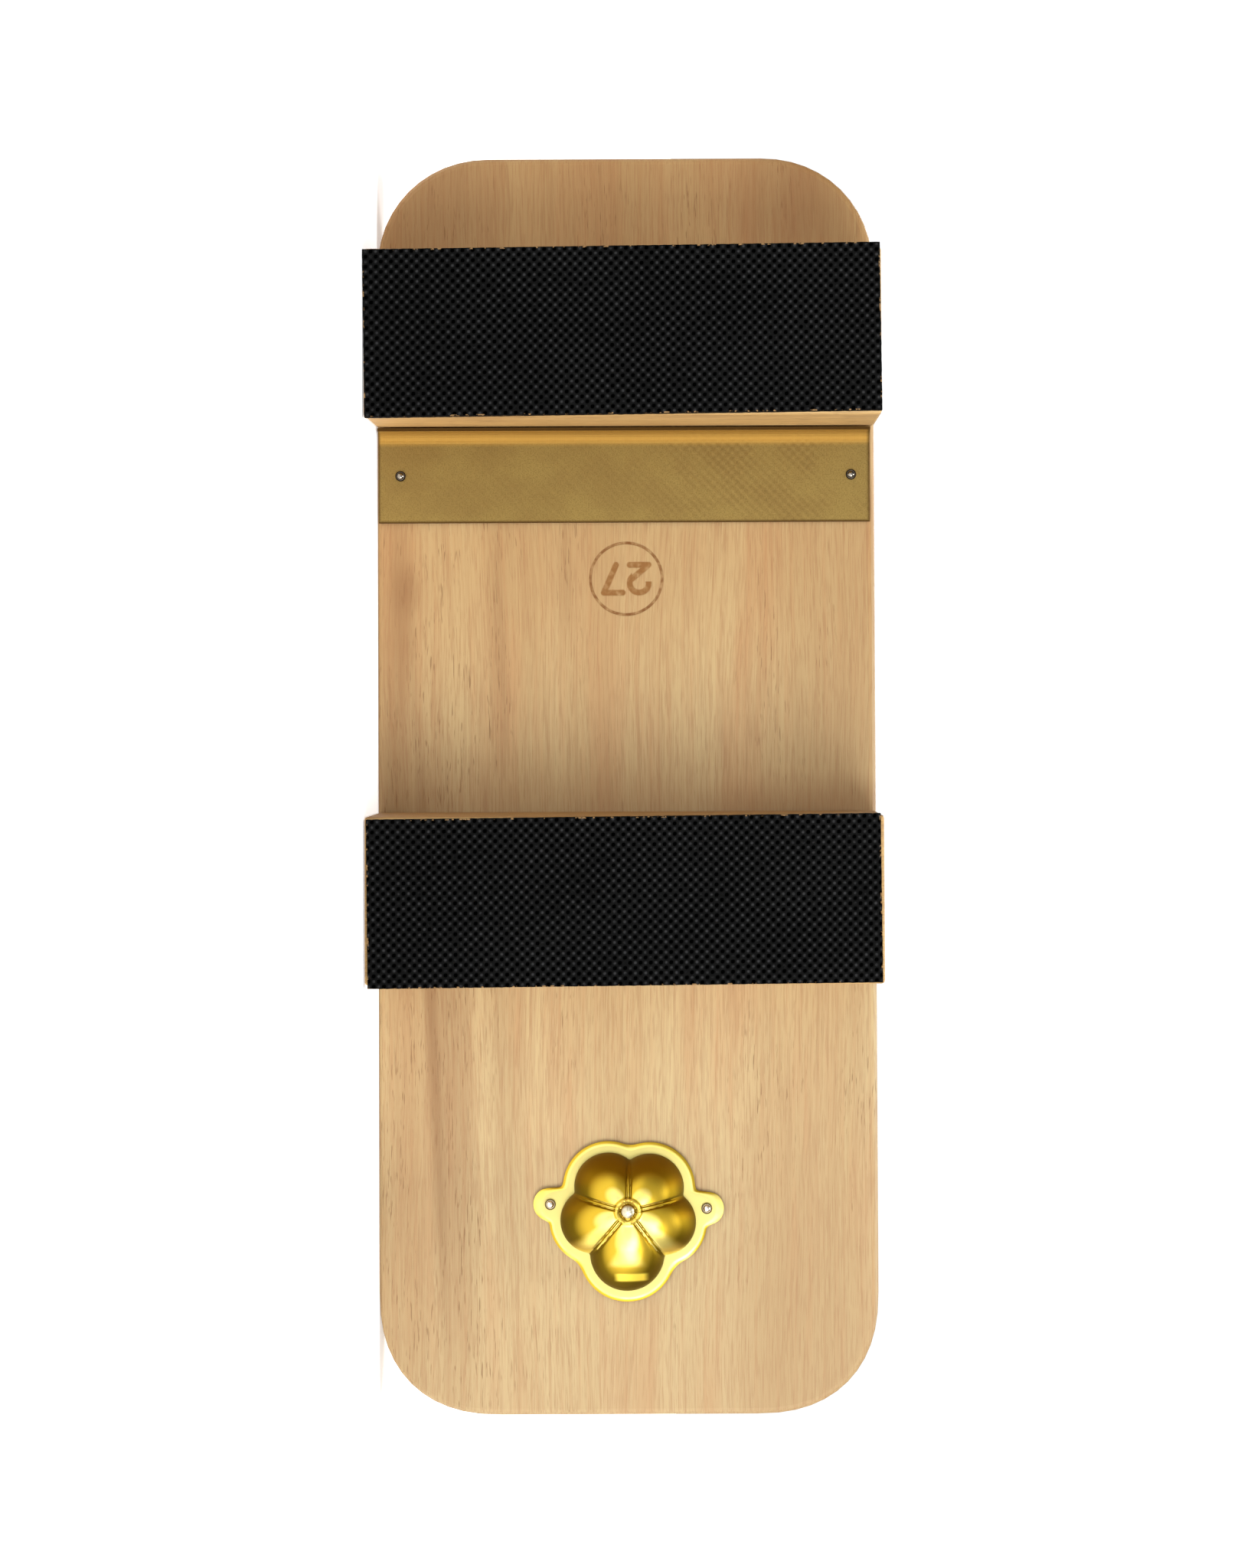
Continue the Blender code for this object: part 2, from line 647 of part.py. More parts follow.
def make_toe_cord(rings, parent, material):
    """The cord that holds the strap's bend: a band round it, a stem down the toe hole and a knot."""
    half_band = CORD_WIDTH / 2
    held = held_points(rings, half_band)
    low = Vector((min(p.x for p in held), min(p.z for p in held)))
    high = Vector((max(p.x for p in held), max(p.z for p in held)))
    middle, half = (low + high) / 2, (high - low) / 2
    stretch = max(
        math.hypot((p.x - middle.x) / half.x, (p.z - middle.y) / half.y) for p in held
    )
    flats = math.cos(math.pi / ROUND_STEPS)  # how much nearer the middle of a polygon's side is
    opening = (half * stretch + Vector((GAP, GAP))) / flats
    outside = opening + Vector((CORD_THICKNESS, CORD_THICKNESS))
    band = place("toe_cord", band_body(middle, opening, outside, half_band), material, parent)
    round_edges(band, CORD_THICKNESS / 4)
    stem_top = Vector((middle.x, 0.0, middle.y - opening.y - CORD_THICKNESS / 2))
    radius = TOE_HOLE_DIAMETER / 2 - GAP
    foot = Vector((TOE_HOLE, 0.0, PLANK_THICKNESS))
    stem = []
    for step in range(STEM_STEPS):
        share = step / STEM_STEPS
        x = mix(stem_top.x, foot.x, share * (2 - share))
        z = mix(stem_top.z, foot.z, share)
        size = mix(STEM_NARROWING * radius, radius, share)
        stem.append(circle(size, z, ROUND_STEPS // 2, (x, 0.0)))
    stem += [circle(radius, z, ROUND_STEPS // 2, foot) for z in (PLANK_THICKNESS, -GAP)]
    knot = TOE_HOLE_DIAMETER / 2 + TOE_KNOT_RIM
    knot_height = CAP_HEIGHT - TOE_KNOT_HEADROOM
    for r, h in TOE_KNOT_PROFILE:
        stem.append(circle(knot * r, -GAP - knot_height * h, ROUND_STEPS // 2, foot))
    use_as_tool(place("toe_cord_stem", stack(stem), None, parent), band, "UNION")
    return band


def band_body(middle, opening, outside, half_band):
    """An oval band about the y axis, between two ellipses given by their half sizes in x and z."""
    body = bmesh.new()
    loops = []
    for y in (-half_band, half_band):
        for half in (opening, outside):
            loop = []
            for i in range(ROUND_STEPS):
                angle = 2 * math.pi * i / ROUND_STEPS
                x = middle.x + half.x * math.cos(angle)
                z = middle.y + half.y * math.sin(angle)
                loop.append(body.verts.new((x, y, z)))
            loops.append(loop)
    near_inner, near_outer, far_inner, far_outer = loops
    for one, other in (
        (near_inner, near_outer),
        (near_outer, far_outer),
        (far_outer, far_inner),
        (far_inner, near_inner),
    ):
        for i in range(ROUND_STEPS):
            j = (i + 1) % ROUND_STEPS
            body.faces.new((one[i], one[j], other[j], other[i]))
    return body


def main():
    clear_scene()
    wood = make_material("plank_wood", (0.60, 0.38, 0.19), 0.55)
    tooth_wood = make_material("tooth_wood", (0.62, 0.40, 0.20), 0.6)
    rubber = make_material("black_rubber", (0.012, 0.012, 0.012), 0.75)
    plate_brass = make_material("plate_brass", (0.42, 0.27, 0.08), 0.35, 1.0)
    cap_brass = make_material("cap_brass", (0.85, 0.62, 0.10), 0.2, 1.0)
    nail_steel = make_material("nail_steel", (0.55, 0.53, 0.50), 0.3, 1.0)
    cloth = make_material("strap_cloth", (0.015, 0.015, 0.017), 0.9)

    sandal = bpy.data.objects.new("sandal", None)
    bpy.context.scene.collection.objects.link(sandal)
    rings = strap_rings()
    top = max(point.z for ring in rings for point in ring)
    sandal.rotation_euler.x = -math.pi / 2
    sandal.location = (0.0, -(TREAD_FACE + top) / 2, HALF_WIDTH)

    make_plank(sandal, wood)
    make_tooth("heel_tooth", sandal, tooth_wood, HEEL_TOOTH_MIDDLE)
    make_tooth("ball_tooth", sandal, tooth_wood, BALL_TOOTH_MIDDLE)
    make_tread(
        "heel_tread", sandal, rubber, HEEL_TOOTH_MIDDLE, HEEL_TREAD_MARGIN, HEEL_TREAD_TURN
    )
    make_tread(
        "ball_tread", sandal, rubber, BALL_TOOTH_MIDDLE, BALL_TREAD_MARGIN, BALL_TREAD_TURN
    )
    make_plate(sandal, plate_brass)
    make_cap(sandal, cap_brass)
    for nail in nail_places():
        make_nail(nail, sandal, nail_steel)
    place("thong_strap", stack(rings), cloth, sandal)
    make_toe_cord(rings, sandal, cloth)


main()
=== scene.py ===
"""The looks of a wooden geta that lies on its side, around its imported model.

The sandal's toe points to +X, its treads to -Y and its footbed to +Y, and z = 0 is the floor. The
treads, the blossom cap, the nails, the strap and the toe cord are modelled again here, finer, in the
place of their plain solids. The wood and the brass plate keep theirs, under detailed materials.
"""

import math
from collections import namedtuple

import bmesh
import bpy
from mathutils import Matrix, Vector, noise


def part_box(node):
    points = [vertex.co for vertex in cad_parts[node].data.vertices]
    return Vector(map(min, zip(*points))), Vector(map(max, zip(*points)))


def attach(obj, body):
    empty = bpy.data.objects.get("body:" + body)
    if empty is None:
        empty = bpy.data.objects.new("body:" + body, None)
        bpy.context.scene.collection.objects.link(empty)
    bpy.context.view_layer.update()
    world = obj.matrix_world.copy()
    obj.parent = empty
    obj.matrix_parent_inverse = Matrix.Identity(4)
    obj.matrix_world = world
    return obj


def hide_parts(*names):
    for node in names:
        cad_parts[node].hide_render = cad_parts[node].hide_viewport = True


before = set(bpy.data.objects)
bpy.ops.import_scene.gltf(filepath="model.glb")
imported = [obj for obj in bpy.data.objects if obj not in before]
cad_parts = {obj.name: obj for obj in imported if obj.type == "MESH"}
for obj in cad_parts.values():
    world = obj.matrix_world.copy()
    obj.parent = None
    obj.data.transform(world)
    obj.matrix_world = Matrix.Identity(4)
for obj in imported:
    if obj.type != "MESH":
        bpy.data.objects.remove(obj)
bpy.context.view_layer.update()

MM = 0.001
TURN = 2 * math.pi
ROOT = "root"

# The sandal's own sizes, which the pieces made here follow
GAP = 0.3 * MM
PLANK_LOW, PLANK_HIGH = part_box("plank")
PLANK_THICKNESS = PLANK_HIGH.y - PLANK_LOW.y
HALF_WIDTH = PLANK_HIGH.z / 2
SOLE_FACE = PLANK_LOW.y
FOOTBED = PLANK_HIGH.y
TOE_HOLE = PLANK_HIGH.x - 46.4 * MM
PLATE_LOW, PLATE_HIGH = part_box("heel_plate")
REAR_HOLES = (PLATE_LOW.x + PLATE_HIGH.x) / 2


def srgb(red, green, blue):
    """A colour as the shaders take it, from its 0 to 255 values on a screen."""
    shares = [value / 255 for value in (red, green, blue)]
    return tuple(s / 12.92 if s <= 0.04045 else ((s + 0.055) / 1.055) ** 2.4 for s in shares)


# Node trees


class Nodes:
    """The nodes of one material or world. Each method adds a node and returns what it gives out."""

    def __init__(self, holder):
        holder.use_nodes = True
        self.nodes = holder.node_tree.nodes
        self.links = holder.node_tree.links

    def feed(self, socket, value):
        if isinstance(value, bpy.types.NodeSocket):
            self.links.new(value, socket)
        elif isinstance(value, tuple) and len(value) == 3 and len(socket.default_value) == 4:
            socket.default_value = (*value, 1.0)
        else:
            socket.default_value = value

    def feed_all(self, node, **inputs):
        """Feeds the inputs of a node, whose names have _ for each space, and returns the node."""
        for name, value in inputs.items():
            self.feed(node.inputs[name.replace("_", " ")], value)
        return node

    def add(self, kind, **inputs):
        return self.feed_all(self.nodes.new("ShaderNode" + kind), **inputs)

    def math(self, operation, *values, clamp=False):
        node = self.add("Math")
        node.operation = operation
        node.use_clamp = clamp
        for socket, value in zip(node.inputs, values):
            self.feed(socket, value)
        return node.outputs[0]

    def chain(self, operation, result, *others):
        for other in others:
            result = self.math(operation, result, other)
        return result

    def total(self, *values):
        return self.chain("ADD", *values)

    def minus(self, value, other):
        return self.math("SUBTRACT", value, other)

    def times(self, *values):
        return self.chain("MULTIPLY", *values)

    def most(self, *values):
        return self.chain("MAXIMUM", *values)

    def line(self, value, factor, start):
        """The value times the factor, plus the start."""
        return self.math("MULTIPLY_ADD", value, factor, start)

    def distance(self, value, other):
        """How far a number is from another."""
        return self.math("ABSOLUTE", self.minus(value, other))

    def join(self, x, y, z):
        return self.add("CombineXYZ", X=x, Y=y, Z=z).outputs[0]

    def split(self, vector):
        return tuple(self.add("SeparateXYZ", Vector=vector).outputs)

    def place(self):
        """Where a point of the surface is, in the sandal's own frame."""
        return self.add("TexCoord").outputs["Object"]

    def uv(self):
        return self.add("TexCoord").outputs["UV"]

    def normal(self):
        return self.add("NewGeometry").outputs["Normal"]

    def noise(self, where, detail=2.0, roughness=0.5):
        node = self.add("TexNoise", Vector=where, Scale=1.0, Detail=detail, Roughness=roughness)
        return node.outputs["Fac"]

    def speckle(self, place, waves, detail=2.0):
        """Noise with so many waves a metre, the same in all directions or one count for each."""
        counts = waves if isinstance(waves, tuple) else (waves, waves, waves)
        return self.noise(self.join(*(self.times(*pair) for pair in zip(place, counts))), detail)

    def smooth(self, value, low, high, most=1.0):
        """0 at low and the most at high, with soft ends."""
        node = self.add("MapRange", Value=value, From_Min=low, From_Max=high, To_Max=most)
        node.interpolation_type = "SMOOTHSTEP"
        return node.outputs["Result"]

    def blend(self, share, one, other, how="MIX"):
        """A colour on the way from one to the other."""
        node = self.add("Mix")
        node.data_type = "RGBA"
        node.blend_type = how
        self.feed(node.inputs["Factor"], share)
        self.feed(node.inputs[6], one)
        self.feed(node.inputs[7], other)
        return node.outputs[2]

    def bump(self, height, depth):
        """A normal from a height between 0 and 1 that stands for that depth in metres."""
        return self.add("Bump", Height=height, Distance=depth).outputs["Normal"]

    def far(self, x, y, middle=(0.0, 0.0)):
        """How far the point (x, y) is from the middle."""
        dx = self.minus(x, middle[0])
        dy = self.minus(y, middle[1])
        return self.math("SQRT", self.line(dx, dx, self.times(dy, dy)))

    def shade(self, colour, roughness, height=None, relief=0.0, specular=0.5, metallic=0.0):
        """Feeds the material's shader. The height, from 0 to 1, stands for a relief in metres."""
        shader = self.nodes["Principled BSDF"]
        self.feed_all(shader, Base_Color=colour, Roughness=roughness, Metallic=metallic)
        self.feed_all(shader, Specular_IOR_Level=specular)
        if height is not None:
            self.feed_all(shader, Normal=self.bump(height, relief))
        return shader


def new_material(name):
    """A material and its nodes."""
    material = bpy.data.materials.new(name)
    return material, Nodes(material)


def dress(node, material):
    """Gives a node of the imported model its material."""
    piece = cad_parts[node]
    piece.data.materials.clear()
    piece.data.materials.append(material)


# Wood

WoodLook = namedtuple("WoodLook", "pale tan rosy pore vein")
PLANK_LOOK = WoodLook(
    pale=srgb(185, 163, 120),
    tan=srgb(176, 151, 108),
    rosy=srgb(174, 136, 95),
    pore=srgb(110, 76, 44),
    vein=srgb(150, 114, 77),
)
TOOTH_LOOK = WoodLook(
    pale=srgb(208, 172, 114),
    tan=srgb(196, 159, 99),
    rosy=srgb(168, 126, 78),
    pore=srgb(110, 74, 46),
    vein=srgb(152, 116, 76),
)

# Darker places of the plank's wood, both real stains and streaks and painted shade: middle from the
# heel end and from the floor side, how far the place reaches along and across, how much it darkens,
# and how far it drifts across along its length
StainOrShade = namedtuple("StainOrShade", "along across reach width depth drift", defaults=(0.0,))
STAINS_AND_SHADE = (
    StainOrShade(0.1950, 0.0120, 0.0850, 0.0020, 0.62, drift=0.045),
    StainOrShade(0.2050, 0.0165, 0.0800, 0.0065, 0.42, drift=0.045),
    # The next two: painted shade at the corners of the heel end
    StainOrShade(0.0100, 0.0960, 0.0300, 0.0200, 0.52),
    StainOrShade(0.0100, 0.0150, 0.0300, 0.0170, 0.42),
    StainOrShade(0.1200, 0.0040, 0.0450, 0.0050, 0.32),
    StainOrShade(0.2620, 0.0980, 0.0600, 0.0320, 0.22),
    # The next two: painted shadow heelward of the ball tooth
    StainOrShade(0.1450, 0.1000, 0.0070, 0.0300, 0.40),
    StainOrShade(0.1470, 0.0555, 0.0110, 0.1400, 0.30),
    # painted shade at the heel end
    StainOrShade(0.0000, 0.0555, 0.0350, 0.1100, 0.35),
    # painted shade at the toe end
    StainOrShade(0.2850, 0.0555, 0.0600, 0.1300, 0.16),
    StainOrShade(0.2300, 0.0060, 0.0900, 0.0150, 0.24),
    StainOrShade(0.0965, 0.0065, 0.0070, 0.0036, 0.45),
    StainOrShade(0.1020, 0.0055, 0.0200, 0.0030, 0.35, drift=0.05),
    StainOrShade(0.1080, 0.0270, 0.0350, 0.0028, 0.30, drift=0.02),
    StainOrShade(0.0930, 0.0420, 0.0200, 0.0024, 0.22, drift=-0.02),
    StainOrShade(0.2100, 0.0280, 0.0600, 0.0050, 0.22, drift=0.03),
    # painted shade across the plank, toeward of the heel plate
    StainOrShade(0.0900, 0.0555, 0.0280, 0.1200, 0.20),
    StainOrShade(0.1150, 0.1050, 0.0450, 0.0180, 0.24),
    StainOrShade(0.1150, 0.0060, 0.0450, 0.0160, 0.18),
)

# The burnt stamp: a ring round a plain size number, on the centre line under the arch
STAMP_ALONG = -0.0458
STAMP_RADIUS = 8.0 * MM
STAMP_LINE = 0.34 * MM  # half the width of the ring's line
DIGIT_STROKE = 0.72 * MM  # half the width of a digit's stroke
DIGIT_APART = 2.9 * MM  # from the centre line to the middle of a digit
DIGIT_HALF_WIDTH = 2.1 * MM
DIGIT_HALF_HEIGHT = 3.1 * MM


def grain_place(nodes, along_axis):
    """The surface's place: along the grain first, then across the face and then deep."""
    x, y, z = nodes.split(nodes.place())
    along, across = (x, z) if along_axis == "X" else (z, x)
    return along, across, y


def wood_grain(nodes, look, along, across, deep):
    """The wood's colour and the height of its surface, from 0 to 1."""

    def layer(length, width, depth, detail=2.0, roughness=0.5, shift=0.0):
        where = nodes.join(
            nodes.math("DIVIDE", along, length),
            nodes.line(across, 1 / width, shift),
            nodes.math("DIVIDE", deep, depth),
        )
        return nodes.noise(where, detail, roughness)

    wander = nodes.minus(layer(0.11, 0.035, 0.03, detail=1.0), 0.5)
    across = nodes.line(wander, 0.007, across)
    bands = layer(0.22, 0.014, 0.02)
    rosy = layer(0.075, 0.0085, 0.01, detail=2.5, shift=31.0)
    rosy_threads = layer(0.045, 0.0010, 0.003, shift=13.0)
    streaks = layer(0.030, 0.00058, 0.002, detail=3.0, roughness=0.6)
    fibres = layer(0.0060, 0.00024, 0.0005, shift=7.0)
    pores = layer(0.0042, 0.00030, 0.0005, detail=1.0, shift=77.0)
    patches = layer(0.05, 0.012, 0.02, shift=53.0)

    colour = nodes.blend(nodes.smooth(bands, 0.30, 0.70), look.pale, look.tan)
    rosy_share = nodes.total(
        nodes.smooth(rosy, 0.46, 0.76, 0.50),
        nodes.smooth(rosy_threads, 0.45, 0.70, 0.35),
    )
    colour = nodes.blend(rosy_share, colour, look.rosy)
    streak_share = nodes.smooth(streaks, 0.42, 0.74, 0.36)
    colour = nodes.blend(streak_share, colour, look.vein)
    fibre_share = nodes.smooth(fibres, 0.46, 0.66, 0.44)
    colour = nodes.blend(fibre_share, colour, look.vein)
    low_side = nodes.smooth(across, 0.045, 0.0, 0.16)
    patches = nodes.total(patches, low_side)
    pore_mask = nodes.times(nodes.smooth(pores, 0.63, 0.73), nodes.smooth(patches, 0.46, 0.68))
    colour = nodes.blend(nodes.times(pore_mask, 0.60), colour, look.pore)
    height = nodes.total(
        nodes.times(fibres, 0.45), nodes.times(streaks, 0.25), nodes.times(pore_mask, -0.6)
    )
    return colour, height


def stain_or_shade_share(nodes, dark_place, along, across):
    """1 in the middle of a darker place, whether stained wood or painted shade, and 0 beyond it."""
    from_middle = nodes.minus(along, PLANK_LOW.x + dark_place.along)
    line = nodes.line(from_middle, dark_place.drift, dark_place.across)
    sideways = nodes.math("DIVIDE", nodes.minus(across, line), dark_place.width)
    lengthways = nodes.math("DIVIDE", from_middle, dark_place.reach)
    spread = nodes.far(sideways, lengthways)
    return nodes.times(nodes.smooth(spread, 1.25, 0.1), dark_place.depth)


def stroke(nodes, u, v, start, end):
    """How far (u, v) is from the straight line between two points."""
    run = Vector(end) - Vector(start)
    du = nodes.minus(u, start[0])
    dv = nodes.minus(v, start[1])
    dot = nodes.line(du, run.x, nodes.times(dv, run.y))
    share = nodes.math("DIVIDE", dot, run.length_squared, clamp=True)
    off_u = nodes.minus(du, nodes.times(share, run.x))
    off_v = nodes.minus(dv, nodes.times(share, run.y))
    return nodes.far(off_u, off_v)


def stamp_shares(nodes, x, z, y):
    """How burnt the stamp's ring and digits are, from 0 to 1. They read right with the toe up."""
    u = nodes.minus(HALF_WIDTH, z)
    v = nodes.minus(x, STAMP_ALONG)
    ring = nodes.distance(nodes.far(u, v), STAMP_RADIUS)
    ring_share = nodes.smooth(ring, STAMP_LINE * 1.25, STAMP_LINE * 0.6)
    half_width, half_height = DIGIT_HALF_WIDTH, DIGIT_HALF_HEIGHT
    bowl = half_height - half_width  # height of the middle of the 2's bowl
    two, seven = -DIGIT_APART, DIGIT_APART
    bowl_u = nodes.minus(u, two)
    bowl_v = nodes.minus(v, bowl)
    arc = nodes.distance(nodes.far(bowl_u, bowl_v), half_width)
    lower_left = nodes.times(
        nodes.math("LESS_THAN", bowl_v, -0.35 * MM), nodes.math("LESS_THAN", bowl_u, 1.6 * MM)
    )
    arc = nodes.total(arc, lower_left)  # far away there, where the 2 has no bowl
    lines = (
        ((two + half_width * 0.93, bowl - 0.7 * MM), (two - half_width, -half_height)),
        ((two - half_width, -half_height), (two + half_width, -half_height)),
        ((seven - half_width, half_height), (seven + half_width, half_height)),
        ((seven + half_width, half_height), (seven - half_width * 0.3, -half_height)),
    )
    nearest = nodes.chain("MINIMUM", arc, *(stroke(nodes, u, v, *ends) for ends in lines))
    digit_share = nodes.smooth(nearest, DIGIT_STROKE * 1.2, DIGIT_STROKE * 0.65, 0.95)
    on_sole = nodes.math("LESS_THAN", y, SOLE_FACE + 0.5 * MM)
    return nodes.times(ring_share, on_sole), nodes.times(digit_share, on_sole)


STAIN_AND_SHADE_COLOUR = srgb(128, 92, 56)
RING_COLOUR = srgb(110, 66, 20)
DIGIT_COLOUR = srgb(126, 82, 32)
# painted warm shade at the plank's heel end
HEEL_SHADE_TINT = (1.0, 0.87, 0.68)  # multiplies the plank's colour at its heel end
# painted shade on the teeth's heelward faces
TOOTH_SHADE = (0.58, 0.50, 0.42)  # multiplies the teeth's colour on their heelward faces
CHAR_WAVES = 700  # a metre, in how darkly the stamp is burnt
GRAIN_DEPTH = 0.05 * MM
WOOD_SPECULAR = 0.35


def plank_material():
    material, nodes = new_material("plank_wood_look")
    along, across, deep = grain_place(nodes, "X")
    colour, height = wood_grain(nodes, PLANK_LOOK, along, across, deep)
    # The stains and the painted shade fade out from the floor side toward the footbed
    toward_sole = nodes.smooth(deep, FOOTBED, SOLE_FACE + 2 * MM)
    for dark_place in STAINS_AND_SHADE:
        share = nodes.times(stain_or_shade_share(nodes, dark_place, along, across), toward_sole)
        colour = nodes.blend(share, colour, STAIN_AND_SHADE_COLOUR)
    # painted warm shade toward the heel end
    heelward = nodes.smooth(along, 0.07, -0.14)
    colour = nodes.blend(heelward, colour, HEEL_SHADE_TINT, "MULTIPLY")
    ring, digits = stamp_shares(nodes, along, across, deep)
    char = nodes.speckle((along, across, 0.0), CHAR_WAVES)
    colour = nodes.blend(nodes.times(digits, nodes.smooth(char, 0.0, 0.6)), colour, DIGIT_COLOUR)
    colour = nodes.blend(nodes.times(ring, nodes.smooth(char, 0.05, 0.75)), colour, RING_COLOUR)
    height = nodes.minus(height, nodes.times(nodes.most(ring, digits), 1.5))
    rough = nodes.line(height, -0.12, 0.60)
    nodes.shade(colour, rough, height, GRAIN_DEPTH, specular=WOOD_SPECULAR)
    return material


def tooth_material():
    material, nodes = new_material("tooth_wood_look")
    colour, height = wood_grain(nodes, TOOTH_LOOK, *grain_place(nodes, "Z"))
    nx, _, _ = nodes.split(nodes.normal())
    # painted shade on the faces that look toward the heel
    heelward = nodes.smooth(nx, -0.6, -0.95)
    colour = nodes.blend(heelward, colour, TOOTH_SHADE, "MULTIPLY")
    rough = nodes.line(height, -0.12, 0.62)
    nodes.shade(colour, rough, height, GRAIN_DEPTH, specular=WOOD_SPECULAR)
    return material


# Metal

PlateLook = namedtuple("PlateLook", "plain cloud tarnish speck bend edge")
PLATE_LOOK = PlateLook(
    plain=srgb(143, 120, 68),
    cloud=srgb(135, 111, 63),
    tarnish=srgb(124, 98, 56),
    speck=srgb(106, 84, 44),
    # painted reflection in the bend
    bend=srgb(180, 143, 72),
    edge=srgb(70, 46, 22),
)
PLATE_WEAVE = 2.1 * MM  # from one line of the plate's pressed lattice to the next
PLATE_RELIEF = 0.03 * MM


def plate_material():
    """Satin brass, brushed along the sandal, with a faint pressed lattice on its upper half and a painted
    reflection in its bend.
    """
    material, nodes = new_material("plate_brass_look")
    x, y, z = nodes.split(nodes.place())

    def layer(length, width, detail=2.0, shift=0.0):
        where = nodes.join(
            nodes.math("DIVIDE", x, length), nodes.line(z, 1 / width, shift), y
        )
        return nodes.noise(where, detail)

    brushing = layer(0.020, 0.00012, detail=3.0)
    clouds = layer(0.012, 0.014, detail=3.0, shift=9.0)
    tarnish = layer(0.004, 0.006, detail=4.0, shift=21.0)
    specks = layer(0.0003, 0.0003, shift=3.0)
    turn = TURN / PLATE_WEAVE
    weave = nodes.times(
        nodes.math("SINE", nodes.times(x, turn)), nodes.math("SINE", nodes.times(z, turn))
    )
    pressed = nodes.line(nodes.smooth(z, 0.050, 0.080), 0.6, 0.4)
    pressed = nodes.times(pressed, nodes.smooth(clouds, 0.35, 0.55))
    look = PLATE_LOOK
    colour = nodes.blend(nodes.smooth(clouds, 0.35, 0.65), look.plain, look.cloud)
    colour = nodes.blend(nodes.smooth(tarnish, 0.45, 0.75, 0.25), colour, look.tarnish)
    colour = nodes.blend(nodes.smooth(specks, 0.42, 0.70, 0.50), colour, look.speck)
    # painted reflection: the bend up against the heel tooth is lighter and more orange
    bend = nodes.smooth(x, PLATE_LOW.x + 4.2 * MM, PLATE_LOW.x + 2.6 * MM)
    colour = nodes.blend(bend, colour, look.bend)
    edges = nodes.most(
        nodes.smooth(z, PLATE_LOW.z + 0.6 * MM, PLATE_LOW.z, 0.75),
        nodes.smooth(z, PLATE_HIGH.z - 0.9 * MM, PLATE_HIGH.z, 0.75),
        nodes.smooth(x, PLATE_HIGH.x - 0.7 * MM, PLATE_HIGH.x - 0.1 * MM, 0.90),
        nodes.smooth(y, PLATE_LOW.y + 0.5 * MM, PLATE_LOW.y + 0.1 * MM, 0.90),
    )
    colour = nodes.blend(edges, colour, look.edge)
    rough = nodes.line(bend, 0.22, nodes.line(brushing, 0.16, 0.42))
    height = nodes.total(nodes.times(brushing, 0.35), nodes.times(weave, pressed, 0.60))
    nodes.shade(colour, rough, height, PLATE_RELIEF, metallic=1.0)
    return material


# A painted highlight: a bright band across the toeward petal near its foot
ToeHighlightBand = namedtuple("ToeHighlightBand", "along across half_length half_width")
TOE_HIGHLIGHT_BAND = ToeHighlightBand(along=14.9 * MM, across=0.7 * MM, half_length=1.2 * MM, half_width=4.1 * MM)
CapLook = namedtuple("CapLook", "pale yellow gold flange heelward_wall wall mark collar boss")
CAP_LOOK = CapLook(
    pale=srgb(240, 222, 128),
    yellow=srgb(236, 212, 104),
    gold=srgb(198, 164, 48),
    flange=srgb(190, 178, 108),
    heelward_wall=srgb(126, 94, 10),
    wall=srgb(102, 82, 10),
    mark=srgb(255, 226, 84),
    collar=srgb(232, 204, 92),
    # painted highlight on the boss
    boss=srgb(196, 188, 162),
)
CAP_RELIEF = 0.01 * MM


